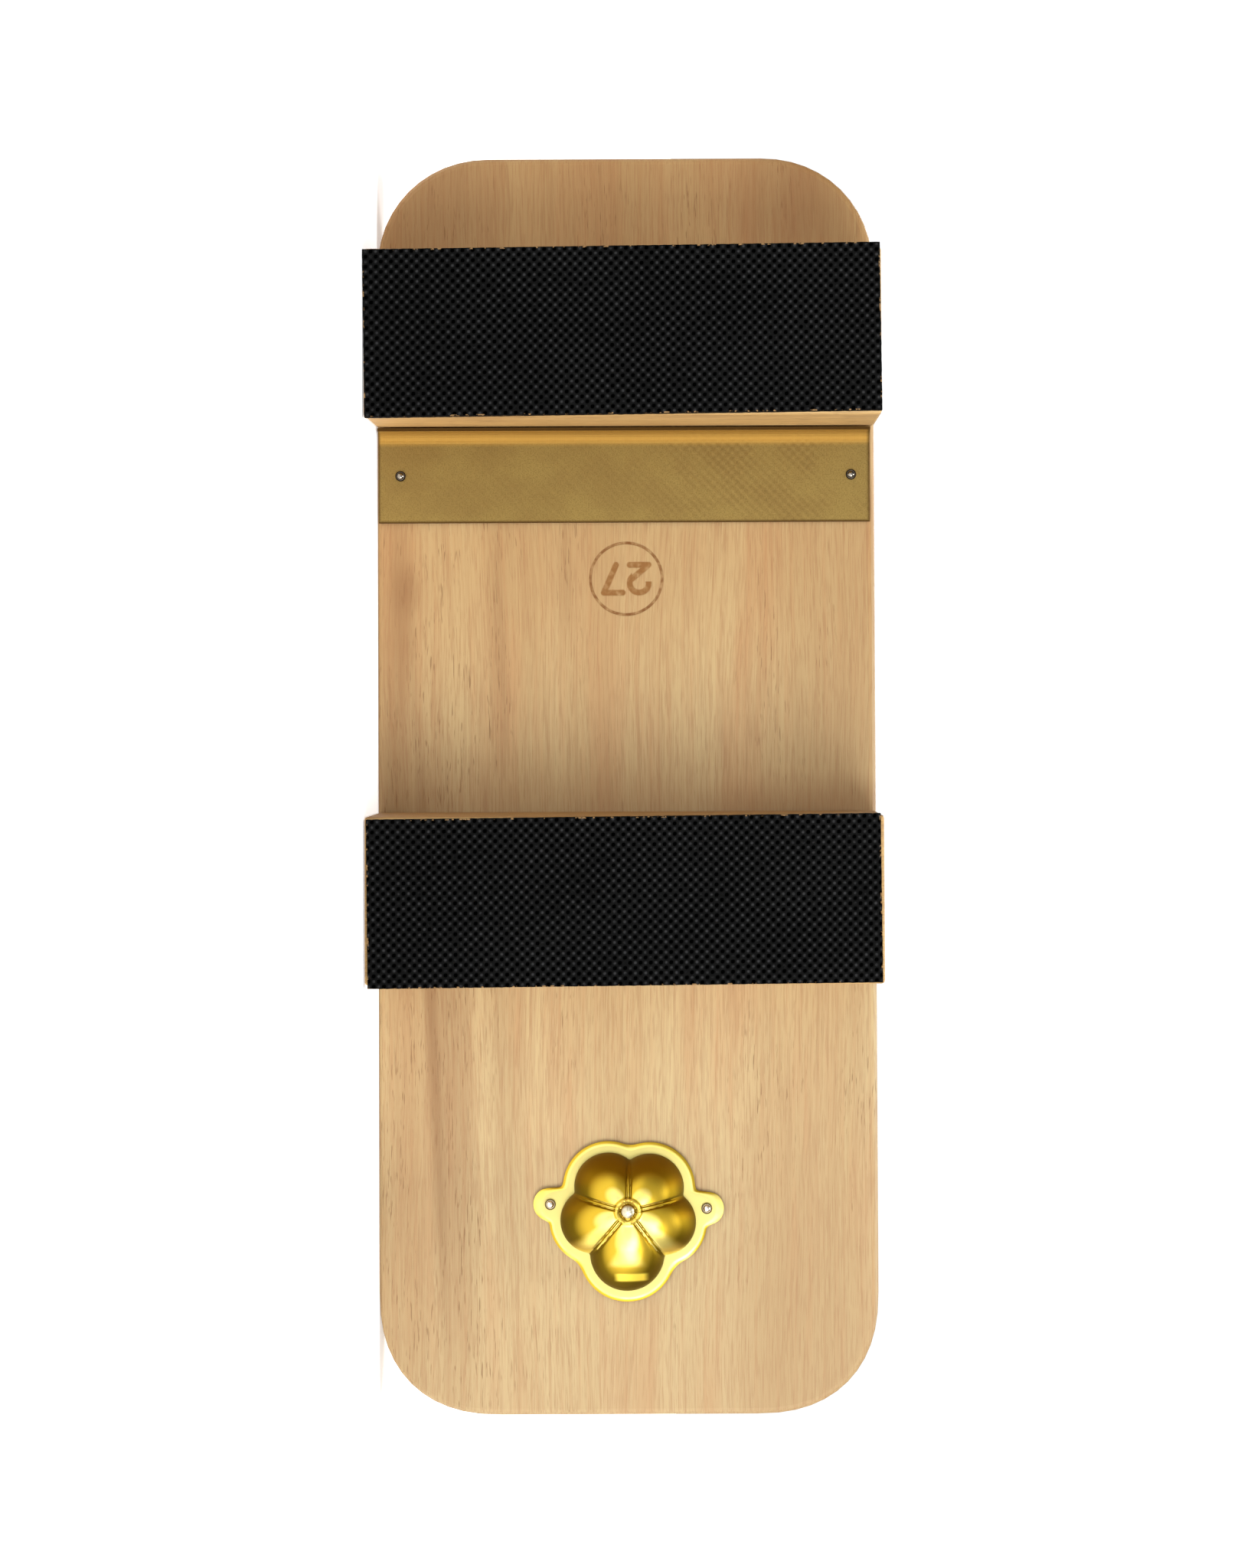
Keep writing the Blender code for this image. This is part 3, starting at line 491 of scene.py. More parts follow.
def cap_material():
    """Bright pressed brass with painted light and shade: darker gold where the sheet tilts and darker
    still on its steep walls, the toeward petal kept pale, a painted highlight band near its toe end and a
    pale painted highlight on the boss.
    """
    material, nodes = new_material("cap_brass_look")
    place = nodes.split(nodes.place())
    x, _, z = place
    nx, ny, nz = nodes.split(nodes.normal())
    look = CAP_LOOK
    along = nodes.minus(x, TOE_HOLE)
    across = nodes.minus(z, HALF_WIDTH)
    from_axis = nodes.far(along, across)
    tilt = nodes.total(ny, 1.0)  # 0 where the sheet lies flat and 1 where it is upright
    flat = nodes.smooth(tilt, 0.004, 0.0005)
    toeward = nodes.math("DIVIDE", nx, nodes.total(nodes.far(nx, nz), 0.001))
    # painted light: the toeward petal keeps its pale colour
    lit_petal = nodes.times(
        nodes.smooth(toeward, 0.60, 0.92), nodes.smooth(along, 12.9 * MM, 11.4 * MM)
    )
    # painted shade: darker gold where the sheet tilts, darker still on the steep walls, less on the
    # toeward petal
    slope_shade = nodes.times(
        nodes.smooth(tilt, 0.004, 0.045), nodes.line(lit_petal, -0.75, 1.0)
    )
    wall_shade = nodes.times(
        nodes.smooth(tilt, 0.05, 0.26), nodes.line(lit_petal, -0.9, 1.0)
    )
    # painted highlight band on the toeward petal
    off_along = nodes.distance(along, TOE_HIGHLIGHT_BAND.along)
    off_across = nodes.distance(across, TOE_HIGHLIGHT_BAND.across)
    mark = nodes.times(
        nodes.smooth(off_along, TOE_HIGHLIGHT_BAND.half_length, 0.5 * TOE_HIGHLIGHT_BAND.half_length),
        nodes.smooth(off_across, TOE_HIGHLIGHT_BAND.half_width, 0.6 * TOE_HIGHLIGHT_BAND.half_width),
    )
    collar = nodes.smooth(nodes.distance(from_axis, COLLAR_RADIUS), 0.55 * MM, 0.2 * MM)
    # painted highlight: the boss is pale cream
    boss = nodes.smooth(from_axis, BOSS_RADIUS - 0.05 * MM, BOSS_RADIUS - 0.45 * MM)
    cloud = nodes.speckle(place, 160, 3.0)
    colour = nodes.blend(nodes.smooth(cloud, 0.35, 0.7), look.pale, look.yellow)
    colour = nodes.blend(slope_shade, colour, look.gold)
    colour = nodes.blend(flat, colour, look.flange)
    # painted shade on the walls, a little lighter on the walls that face the heel
    wall = nodes.blend(nodes.smooth(nx, -0.35, 0.0), look.heelward_wall, look.wall)
    colour = nodes.blend(wall_shade, colour, wall)
    colour = nodes.blend(mark, colour, look.mark)
    colour = nodes.blend(collar, colour, look.collar)
    colour = nodes.blend(boss, colour, look.boss)
    rough = nodes.line(flat, 0.08, nodes.line(cloud, 0.12, 0.30))
    rough = nodes.line(wall_shade, 0.16, rough)
    brushing = nodes.speckle(place, (900, 900, 4000))
    nodes.shade(colour, rough, brushing, CAP_RELIEF, metallic=1.0)
    return material


NailLook = namedtuple("NailLook", "head rim")
PLATE_NAIL = NailLook(head=srgb(146, 140, 130), rim=srgb(50, 40, 30))
CAP_NAIL = NailLook(head=srgb(236, 228, 212), rim=srgb(116, 98, 62))


def nail_material():
    """A polished head with a darker sunk rim. The cap's nails are brighter than the plate's."""
    material, nodes = new_material("nail_metal_look")
    out, _, _ = nodes.split(nodes.uv())  # the share of the way from the nail's axis to its rim
    cloud = nodes.noise(nodes.join(nodes.times(out, 3.0), 0.0, 0.0))
    rim = nodes.smooth(nodes.line(cloud, 0.1, out), 0.70, 0.86)
    x, _, _ = nodes.split(nodes.place())
    toeward = nodes.math("GREATER_THAN", x, 0.0)
    head_colour = nodes.blend(toeward, PLATE_NAIL.head, CAP_NAIL.head)
    rim_colour = nodes.blend(toeward, PLATE_NAIL.rim, CAP_NAIL.rim)
    rough = nodes.line(rim, 0.40, 0.20)
    nodes.shade(nodes.blend(rim, head_colour, rim_colour), rough, metallic=1.0)
    return material


# Rubber

LATTICE = 1.09 * MM  # from a raised point of the treads' lattice to the pit beside it
RubberLook = namedtuple("RubberLook", "dark grey worn pit dust")
RUBBER_LOOK = RubberLook(
    dark=srgb(8, 8, 8),
    grey=srgb(19, 19, 19),
    # the next two: painted highlight on the raised points and painted shade in the pits
    worn=srgb(47, 47, 48),
    pit=srgb(1, 1, 1),
    dust=srgb(150, 118, 80),
)
RUBBER_RELIEF = 0.06 * MM


def tread_material():
    """Matt black rubber with painted highlights on its raised points and painted shade in its pits, and
    wood dust along its cut edges.
    """
    material, nodes = new_material("tread_rubber_look")
    place = nodes.split(nodes.place())
    depth, edge, _ = nodes.split(nodes.uv())
    look = RUBBER_LOOK
    grime = nodes.speckle(place, 900, 3.0)
    broad = nodes.speckle(place, (90, 90, 60))
    tone = nodes.line(nodes.smooth(broad, 0.3, 0.7), 0.25, nodes.times(grime, 0.35))
    colour = nodes.blend(tone, look.dark, look.grey)
    # painted highlights on the raised points, in patches
    worn = nodes.times(nodes.smooth(depth, 0.20, 0.02), nodes.smooth(grime, 0.25, 0.65))
    colour = nodes.blend(worn, colour, look.worn)
    # painted shade in the pits
    pit = nodes.smooth(depth, 0.34, 0.62)
    colour = nodes.blend(pit, colour, look.pit)
    specks = nodes.times(nodes.smooth(grime, 0.58, 0.66), nodes.smooth(edge, 0.5, 1.0))
    colour = nodes.blend(nodes.times(specks, 0.75), colour, look.dust)
    rough = nodes.line(grime, 0.20, 0.75)
    specular = nodes.line(pit, -0.04, 0.04)
    nodes.shade(colour, rough, grime, RUBBER_RELIEF, specular)
    return material


# Fabric

THREAD = 0.75 * MM  # from one thread of the strap's weave to the next
THREAD_RELIEF = 0.22 * MM
CLOTH_DARK = srgb(7, 7, 8)
STRAP_PALE = srgb(34, 34, 38)
CORD_PALE = srgb(30, 30, 34)


def fabric_material(name, thread, pale):
    """A plain weave laid along the piece by its UV map, which is in metres."""
    material, nodes = new_material(name)
    across, along, _ = nodes.split(nodes.uv())
    turn = math.pi / thread
    warp = nodes.math("SINE", nodes.times(across, turn))
    weft = nodes.math("SINE", nodes.times(along, turn))
    over = nodes.times(warp, weft)
    threads = nodes.most(
        nodes.times(nodes.math("ABSOLUTE", warp), nodes.smooth(over, -0.4, 0.4)),
        nodes.times(nodes.math("ABSOLUTE", weft), nodes.smooth(over, 0.4, -0.4)),
    )
    place = nodes.split(nodes.place())
    fuzz = nodes.speckle(place, 1500, 3.0)
    fade = nodes.speckle(place, 70, 3.0)
    worn = nodes.smooth(fade, 0.35, 0.70, 0.35)
    share = nodes.total(nodes.times(threads, 0.55), nodes.times(fuzz, 0.15), worn)
    rough = nodes.line(fuzz, 0.2, 0.72)
    height = nodes.line(fuzz, 0.25, threads)
    colour = nodes.blend(share, CLOTH_DARK, pale)
    shader = nodes.shade(colour, rough, height, THREAD_RELIEF, specular=0.25)
    nodes.feed_all(shader, Sheen_Weight=0.06, Sheen_Roughness=0.4)
    return material


# Meshes


def new_object(name, data):
    thing = bpy.data.objects.new(name, data)
    bpy.context.scene.collection.objects.link(thing)
    return thing


def new_piece(name, points, faces, material, uvs=None, sharp=180):
    """A piece that rides on the sandal. uvs gives each point its pair, sharp is in degrees."""
    mesh = bpy.data.meshes.new(name)
    mesh.from_pydata([tuple(point) for point in points], [], faces)
    if uvs:
        layer = mesh.uv_layers.new(name="UV")
        for loop in mesh.loops:
            layer.data[loop.index].uv = uvs[loop.vertex_index]
    mesh.materials.append(material)
    mesh.validate()
    mesh.shade_smooth()
    body = bmesh.new()
    body.from_mesh(mesh)
    bmesh.ops.recalc_face_normals(body, faces=body.faces)
    body.to_mesh(mesh)
    body.free()
    mesh.set_sharp_from_angle(angle=math.radians(sharp))
    piece = new_object(name, mesh)
    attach(piece, ROOT)
    return piece


def sew_rings(rings):
    """Points and faces of a closed body through rings of as many points each."""
    around = len(rings[0])
    points = [point for ring in rings for point in ring]
    faces = []
    for i in range(len(rings) - 1):
        for j in range(around):
            k = (j + 1) % around
            faces.append((i * around + j, i * around + k, (i + 1) * around + k, (i + 1) * around + j))
    faces.append(tuple(reversed(range(around))))
    faces.append(tuple(range(len(points) - around, len(points))))
    return points, faces


# Treads

Tread = namedtuple("Tread", "node turn")
TREADS = (Tread("heel_tread", math.radians(-0.6)), Tread("ball_tread", math.radians(-0.5)))
TREAD_LENGTH = 36 * MM
TREAD_CELL = LATTICE / 4
PIT_DEPTH = 0.34 * MM
BUMP_RISE = 0.10 * MM
PIT_STEEPNESS = 1.3
EDGE_JITTER = 0.06 * MM
EDGE_NOISE = 900  # how fast a tread's edge wanders, per metre
SIDE_NOISE = 500
SIDE_LEVELS = (0.3, 0.65, 1.0)  # where the rings of a tread's sides lie, from its face to its back
SIDE_TONE = 0.25  # the sides' place between the lattice's points and its pits
SIDE_DUST = 0.62  # share of the edges' wood dust that lies on the treads' sides


def lattice_depth(along, across):
    """How deep the lattice lies under the tread's face: raised points and round pits by turns."""
    wave = math.cos(math.pi * along / LATTICE) * math.cos(math.pi * across / LATTICE)
    if wave > 0:
        return BUMP_RISE * (1 - wave)
    return BUMP_RISE + (PIT_DEPTH - BUMP_RISE) * (-wave) ** PIT_STEEPNESS


def make_tread(tread, material):
    low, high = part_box(tread.node)
    middle = (low + high) / 2
    face, back = low.y, high.y
    length = TREAD_LENGTH
    width = (high.z - low.z - length * math.sin(abs(tread.turn))) / math.cos(tread.turn)
    rows, columns = round(length / TREAD_CELL), round(width / TREAD_CELL)
    cos, sin = math.cos(tread.turn), math.sin(tread.turn)

    def spot(along, across, y):
        return (middle.x + along * cos - across * sin, y, middle.z - along * sin - across * cos)

    points, uvs = [], []
    for i in range(rows + 1):
        for j in range(columns + 1):
            along = length * (i / rows - 0.5)
            across = width * (j / columns - 0.5)
            rim = min(i, rows - i, j, columns - j)
            depth = lattice_depth(along, across)
            if rim == 0:
                pull = noise.noise(Vector((along, across, 0.0)) * EDGE_NOISE) * EDGE_JITTER + EDGE_JITTER
                along -= math.copysign(pull, along) if i in (0, rows) else 0.0
                across -= math.copysign(pull, across) if j in (0, columns) else 0.0
                depth = BUMP_RISE
            points.append(spot(along, across, face + depth))
            uvs.append((depth / PIT_DEPTH, 1.0 if rim < 2 else 0.0))
    faces = []
    wide = columns + 1  # points in a row
    for i in range(rows):
        for j in range(columns):
            a = i * wide + j
            faces.append((a, a + 1, a + wide + 1, a + wide))
    border = list(range(columns))
    border += [i * wide + columns for i in range(rows)]
    border += [rows * wide + j for j in range(columns, 0, -1)]
    border += [i * wide for i in range(rows, 0, -1)]
    ring = border
    for level in SIDE_LEVELS:
        lower = []
        for index in border:
            x, y, z = points[index]
            wobble = noise.noise(Vector((x * SIDE_NOISE, level * 9, z * SIDE_NOISE))) * EDGE_JITTER
            off = Vector((x - middle.x, 0, z - middle.z)).normalized() * wobble if level < 1 else Vector()
            lower.append(len(points))
            points.append((x + off.x, face + (back - face) * level, z + off.z))
            uvs.append((SIDE_TONE, SIDE_DUST))
        for k in range(len(ring)):
            n = (k + 1) % len(ring)
            faces.append((ring[k], ring[n], lower[n], lower[k]))
        ring = lower
    faces.append(tuple(ring))
    piece = new_piece(tread.node + "_lattice", points, faces, material, uvs, sharp=60)
    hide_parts(tread.node)


# Blossom cap

Lobe = namedtuple("Lobe", "heelward out radius")
CAP_REACH = 18.7 * MM
BLOSSOM = (
    Lobe(0.225, 0.246, 0.405),
    Lobe(-0.176, 0.417, 0.388),
    Lobe(-0.556, 0.000, 0.442),
    Lobe(-0.176, -0.417, 0.388),
    Lobe(0.225, -0.246, 0.405),
)
CAP_SHEET = 0.8 * MM
CAP_HEIGHT = 8.0 * MM
CAP_FLANGE = 2.5 * MM
CAP_EAR_BEYOND = 3.1 * MM
CAP_EAR_RADIUS = 3.8 * MM
CAP_SWELL = 0.5 * MM
CAP_TURN = math.radians(1.7)
DOME_FLATNESS = 2.6
DOME_STEEPNESS = 0.55
CREASE_HALF = 0.42 * MM  # from a crease's middle ridge to the groove beside it
CREASE_DEPTH = 0.26 * MM
CREASE_WIDTH = 0.20 * MM
CREASE_RIDGE = 0.45  # height of the middle ridge, as a share of the grooves' depth
BOSS_RADIUS = 1.6 * MM
BOSS_RISE = 1.1 * MM
COLLAR_RADIUS = 2.45 * MM  # of the raised ring round the boss
COLLAR_HALF = 0.38 * MM
COLLAR_RISE = 0.48 * MM
DOME_RINGS = 64
DOME_SHRINK = 1.35  # how much closer the dome's rings lie toward its foot
FLANGE_RINGS = 7
FLANGE_FALL = 0.35 * CAP_SHEET
FLANGE_BEVEL = 0.15 * MM
INNER_SHARES = (0.93, 0.8, 0.5, 0.2)  # where the rings of the cap's inner face lie
CAP_SPOKES = 360
# How far to either side an outline is averaged, in radians, which rounds its valleys
WALL_WINDOW = 0.035
FLANGE_WINDOW = 0.10
EDGE_ROUNDS = 3  # of smoothing, for the flange's edge


def ray_reach(angle, heelward, out, radius):
    """How far a ray from the cap's middle goes before it leaves a circle, or 0 where it misses."""
    direction = Vector((math.cos(angle), math.sin(angle)))
    middle = Vector((-heelward, out))
    along = direction.dot(middle)
    inside = radius**2 - (middle.length_squared - along**2)
    return max(0.0, along + math.sqrt(inside)) if inside > 0 else 0.0


def lobe_reach(angle, wider=0.0):
    return max(
        ray_reach(angle, CAP_REACH * lobe.heelward, CAP_REACH * lobe.out, CAP_REACH * lobe.radius + wider)
        for lobe in BLOSSOM
    )


def soft_reach(angle, wider, window):
    """The blossom's outline with its valleys rounded, by a mean over a small turn."""
    steps = 9
    turns = [window * (2 * step / (steps - 1) - 1) for step in range(steps)]
    return sum(lobe_reach(angle + turn, wider) for turn in turns) / steps


def crease_angles():
    """The angles of the valleys between petals, found where the outline is nearest."""
    count = 720
    reach = [lobe_reach(TURN * i / count) for i in range(count)]
    return [
        TURN * i / count
        for i in range(count)
        if reach[i] < reach[i - 1] and reach[i] <= reach[(i + 1) % count]
    ]


def petal_share(angle, creases):
    """Where an angle lies in its petal, from 0 to 1, and how far it is from the nearest crease."""
    ordered = creases + [creases[0] + TURN]
    for start, end in zip(ordered, ordered[1:]):
        for turn in (0.0, TURN):
            share = (angle + turn - start) / (end - start)
            if 0 <= share <= 1:
                nearest = min(angle + turn - start, end - angle - turn)
                return share, nearest
    return 0.0, 0.0


def bell(distance, width):
    return math.exp(-((distance / width) ** 2))


def dome_height(share, radius, angle, creases):
    """Height of the dome over its flange, for a share of the way out to the foot of its wall."""
    height = CAP_HEIGHT * max(0.0, 1 - share**DOME_FLATNESS) ** DOME_STEEPNESS
    petal, from_crease = petal_share(angle, creases)
    height += CAP_SWELL * 4 * petal * (1 - petal) * math.sin(math.pi * min(share, 1.0)) ** 1.2
    off = radius * math.sin(min(from_crease, math.pi / 2))
    fade = min(1.0, max(0.0, (radius - COLLAR_RADIUS) / (0.5 * MM))) * (1 - share**6)
    grooves = bell(off - CREASE_HALF, CREASE_WIDTH) - CREASE_RIDGE * bell(off, CREASE_WIDTH)
    height -= CREASE_DEPTH * fade * grooves
    height += COLLAR_RISE * bell(radius - COLLAR_RADIUS, COLLAR_HALF)
    if radius < BOSS_RADIUS:
        height += BOSS_RISE * math.sqrt(1 - (radius / BOSS_RADIUS) ** 2)
    return height


def make_cap(material):
    creases = crease_angles()
    base = SOLE_FACE - GAP
    cos, sin = math.cos(CAP_TURN), math.sin(CAP_TURN)

    def spot(radius, angle, height):
        """Angles turn from the toe to the side that lies on the floor."""
        toeward, out = radius * math.cos(angle), radius * math.sin(angle)
        turned = (toeward * cos - out * sin, toeward * sin + out * cos)
        return (TOE_HOLE + turned[0], base - height, HALF_WIDTH - turned[1])

    ear_out = lobe_reach(math.pi / 2) + CAP_EAR_BEYOND
    shares = [1 - (1 - i / DOME_RINGS) ** DOME_SHRINK for i in range(1, DOME_RINGS + 1)]
    spokes = [TURN * i / CAP_SPOKES for i in range(CAP_SPOKES)]
    feet = [soft_reach(angle, 0.0, WALL_WINDOW) for angle in spokes]
    edges = [
        max(
            soft_reach(angle, CAP_FLANGE, FLANGE_WINDOW),
            ray_reach(angle, 0.0, ear_out, CAP_EAR_RADIUS),
            ray_reach(angle, 0.0, -ear_out, CAP_EAR_RADIUS),
        )
        for angle in spokes
    ]
    for _ in range(EDGE_ROUNDS):
        edges = [(edges[i - 1] + edges[i] + edges[(i + 1) % CAP_SPOKES]) / 3 for i in range(CAP_SPOKES)]
    rings = []

    def lay(radii, heights):
        rings.append([spot(*at) for at in zip(radii, spokes, heights)])

    def level(height):
        return [height] * CAP_SPOKES

    for share in shares:
        radii = [share * foot for foot in feet]
        rise = [dome_height(share, *at, creases) for at in zip(radii, spokes)]
        lay(radii, [CAP_SHEET + height for height in rise])
    for i in range(1, FLANGE_RINGS + 1):
        share = i / FLANGE_RINGS
        radii = [foot + (edge - foot) * share for foot, edge in zip(feet, edges)]
        lay(radii, level(CAP_SHEET - FLANGE_FALL * share**6))
    lay(edges, level(0.15 * CAP_SHEET))
    lay([edge - FLANGE_BEVEL for edge in edges], level(0.0))
    lay([foot - CAP_SHEET for foot in feet], level(0.0))
    for share in INNER_SHARES:
        dome = CAP_HEIGHT * (1 - share**DOME_FLATNESS) ** DOME_STEEPNESS
        lay([share * (foot - CAP_SHEET) for foot in feet], level(dome))
    points, faces = sew_rings(rings)
    piece = new_piece("blossom_cap_pressed", points, faces, material, sharp=50)
    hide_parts("blossom_cap")


# Nails

NAIL_NODES = ("heel_plate_nail_left", "heel_plate_nail_right", "cap_nail_left", "cap_nail_right")
NAIL_SPOKES = 32
# A nail from the middle of its head down to its point, as (share of the head's radius, share of the
# head's height over the sheet): a small dome inside a sunk rim
NAIL_HEAD = (
    (0.12, 1.0), (0.30, 0.94), (0.46, 0.80), (0.58, 0.58), (0.66, 0.28), (0.70, 0.08),
    (0.76, 0.05), (0.84, 0.16), (0.93, 0.26), (1.0, 0.16), (1.0, 0.0),
)
NAIL_HEAD_HEIGHT = 0.6 * MM
NAIL_SHANK_SHARE = 0.5
NAIL_POINT = 2 * MM


def make_nail(node, material):
    low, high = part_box(node)
    middle = (low + high) / 2
    radius = (high.x - low.x) / 2
    shank = radius * NAIL_SHANK_SHARE
    seat = low.y + NAIL_HEAD_HEIGHT
    profile = [(radius * r, seat - NAIL_HEAD_HEIGHT * h, r) for r, h in NAIL_HEAD]
    profile += [(shank, seat, 1.0), (shank, high.y - NAIL_POINT, 1.0), (shank / 4, high.y, 1.0)]
    rings, uvs = [], []
    for out, y, share in profile:
        ring = []
        for i in range(NAIL_SPOKES):
            angle = TURN * i / NAIL_SPOKES
            ring.append((middle.x + out * math.cos(angle), y, middle.z + out * math.sin(angle)))
            uvs.append((share, i / NAIL_SPOKES))
        rings.append(ring)
    points, faces = sew_rings(rings)
    piece = new_piece(node + "_domed", points, faces, material, uvs, sharp=60)
    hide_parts(node)


# Strap and toe cord

STRAP_RISE = 41 * MM
PAD_WIDTH = 20.5 * MM
PAD_THICKNESS = 11 * MM
BEND_WIDTH = 6.8 * MM
BEND_THICKNESS = 7.8 * MM
BEND_RADIUS = 7.6 * MM
BEND_BEHIND = 3.5 * MM
STRAP_UPRIGHT = 4 * MM
REAR_HOLE_OUT = HALF_WIDTH - 17.5 * MM
REAR_HOLE_DIAMETER = 9.5 * MM
STRAP_END_DIAMETER = REAR_HOLE_DIAMETER - 2 * GAP
KNOT_RECESS_RIM = 2.5 * MM
KNOT_RECESS_DEPTH = 6.5 * MM
END_KNOT_RINGS = ((1.0, 0.0), (1.0, 0.75), (0.8, 1.0), (0.3, 1.0), (0.05, 0.5))
Station = namedtuple("Station", "along out up lean fullness to_hole", defaults=(0.0,))
LEG = (
    Station(0.125, 0.31, 0.76, 14, 0.55),
    Station(0.250, 0.51, 0.91, 24, 0.92),
    Station(0.400, 0.70, 0.99, 33, 1.00),
    Station(0.550, 0.85, 1.00, 42, 1.00),
    Station(0.700, 0.96, 0.89, 54, 1.00),
    Station(0.830, 1.00, 0.66, 68, 0.95),
    Station(0.925, 0.99, 0.42, 78, 0.75, to_hole=0.22),
    Station(0.980, 0.97, 0.24, 85, 0.35, to_hole=0.68),
)
BEND_UP = 0.54
BEND_END_UP = 0.60
BEND_TURN = math.radians(60)
BEND_STEPS = 4
MIDWAY = 0.5
STRAP_SIDES = 56
STRAP_STEPS = 14
SPREAD_ROUNDS = 6
GATHER_COUNT = 18  # round the strap
GATHER_DEPTH = 0.34 * MM
DENT_DEPTH = 0.42 * MM
FOLD_DEPTH = 0.24 * MM
FOLD_PLACES = ((0.030, 0.013), (0.128, 0.012))  # how far along a leg, and how wide
CLOTH_INSET = 0.15 * MM
SEAM_WIDTH = 0.55 * MM
SEAM_DEPTH = 0.55 * MM
STITCH_PITCH = 3.2 * MM


def mix(low, high, share):
    return low + (high - low) * share


def laid(x, out, up):
    """A point of the standing sandal, up from the sole's underside, as it lies on its side."""
    return Vector((x, SOLE_FACE + up, HALF_WIDTH - out))


def spline(stations, steps):
    """Points of a smooth curve through every station."""
    before = [2 * a - b for a, b in zip(stations[0], stations[1])]
    after = [2 * a - b for a, b in zip(stations[-1], stations[-2])]
    known = [before, *stations, after]
    points = []
    for p0, p1, p2, p3 in zip(known, known[1:], known[2:], known[3:]):
        for step in range(steps):
            t = step / steps
            point = []
            for a, b, c, d in zip(p0, p1, p2, p3):
                cubic = (-a + 3 * b - 3 * c + d) * t**3 + (2 * a - 5 * b + 4 * c - d) * t**2
                point.append((cubic + (c - a) * t + 2 * b) / 2)
            points.append(point)
    points.append(list(stations[-1]))
    return points


def leg_stations(spread):
    """One leg as (x, out, up, lean, width, thickness), from the bend's middle to the rear hole."""
    bend_middle = TOE_HOLE - BEND_BEHIND - BEND_RADIUS
    stations = []
    for step in range(BEND_STEPS):
        share = step / (BEND_STEPS - 1)
        angle = BEND_TURN * share
        up = PLANK_THICKNESS + STRAP_RISE * mix(BEND_UP, BEND_END_UP, share**2)
        x = bend_middle + BEND_RADIUS * math.cos(angle)
        stations.append((x, BEND_RADIUS * math.sin(angle), up, 0.0, BEND_WIDTH, BEND_THICKNESS))
    for station in LEG:
        near_bend = station.along < MIDWAY
        narrow_width = BEND_WIDTH if near_bend else STRAP_END_DIAMETER
        narrow_thickness = BEND_THICKNESS if near_bend else STRAP_END_DIAMETER
        stations.append(
            (
                mix(TOE_HOLE, REAR_HOLES, station.along),
                mix(station.out * spread, REAR_HOLE_OUT, station.to_hole),
                PLANK_THICKNESS + STRAP_RISE * station.up,
                math.radians(station.lean),
                mix(narrow_width, PAD_WIDTH, station.fullness),
                mix(narrow_thickness, PAD_THICKNESS, station.fullness),
            )
        )
    for height in (STRAP_UPRIGHT, 0.0):
        size = STRAP_END_DIAMETER
        up = PLANK_THICKNESS + height
        stations.append((REAR_HOLES, REAR_HOLE_OUT, up, math.pi / 2, size, size))
    return stations


def seam_offset(angle, length, far):
    """How far the cloth is pulled in at the stitched seam along the pad's underside."""
    off = abs((angle - 1.5 * math.pi + math.pi) % TURN - math.pi) * length
    stitches = 0.75 + 0.35 * math.cos(TURN * far / STITCH_PITCH)
    return SEAM_DEPTH * stitches * bell(off, SEAM_WIDTH)


def cloth_rise(angle, width, far, fullness):
    """Creases of the cloth: gathers where the pad narrows, and soft dents along it."""
    narrow = 1 - fullness
    gathers = GATHER_DEPTH * narrow * math.sin(GATHER_COUNT / 2 * angle + 3 * math.sin(far * 60)) ** 2
    where = Vector((math.cos(angle) * width * 90, math.sin(angle) * width * 90, far * 75))
    dents = DENT_DEPTH * fullness * noise.noise(where)
    folded = sum(bell(far - place, width) for place, width in FOLD_PLACES)
    folds = FOLD_DEPTH * math.sin(far * 1150 + 5 * math.sin(angle)) * folded
    return dents - gathers + folds * fullness


def section(middle, along, lean, width, thickness, far, relief):
    """One section of the strap square to its run, in the standing sandal's directions."""
    face = Vector((0.0, math.sin(lean), math.cos(lean)))
    face = (face - face.dot(along) * along).normalized()
    side = along.cross(face)
    fullness = (width - BEND_WIDTH) / (PAD_WIDTH - BEND_WIDTH)
    half_width, half_thickness = width / 2, thickness / 2
    ring = []
    for i in range(STRAP_SIDES):
        angle = TURN * i / STRAP_SIDES
        rise = 0.0
        if relief:
            rise = cloth_rise(angle, width, far, min(1.0, max(0.0, fullness)))
            rise -= seam_offset(angle, half_width, far) + CLOTH_INSET
        sideward = side * math.cos(angle) * (half_width + rise)
        ring.append(middle + sideward + face * math.sin(angle) * (half_thickness + rise))
    return ring


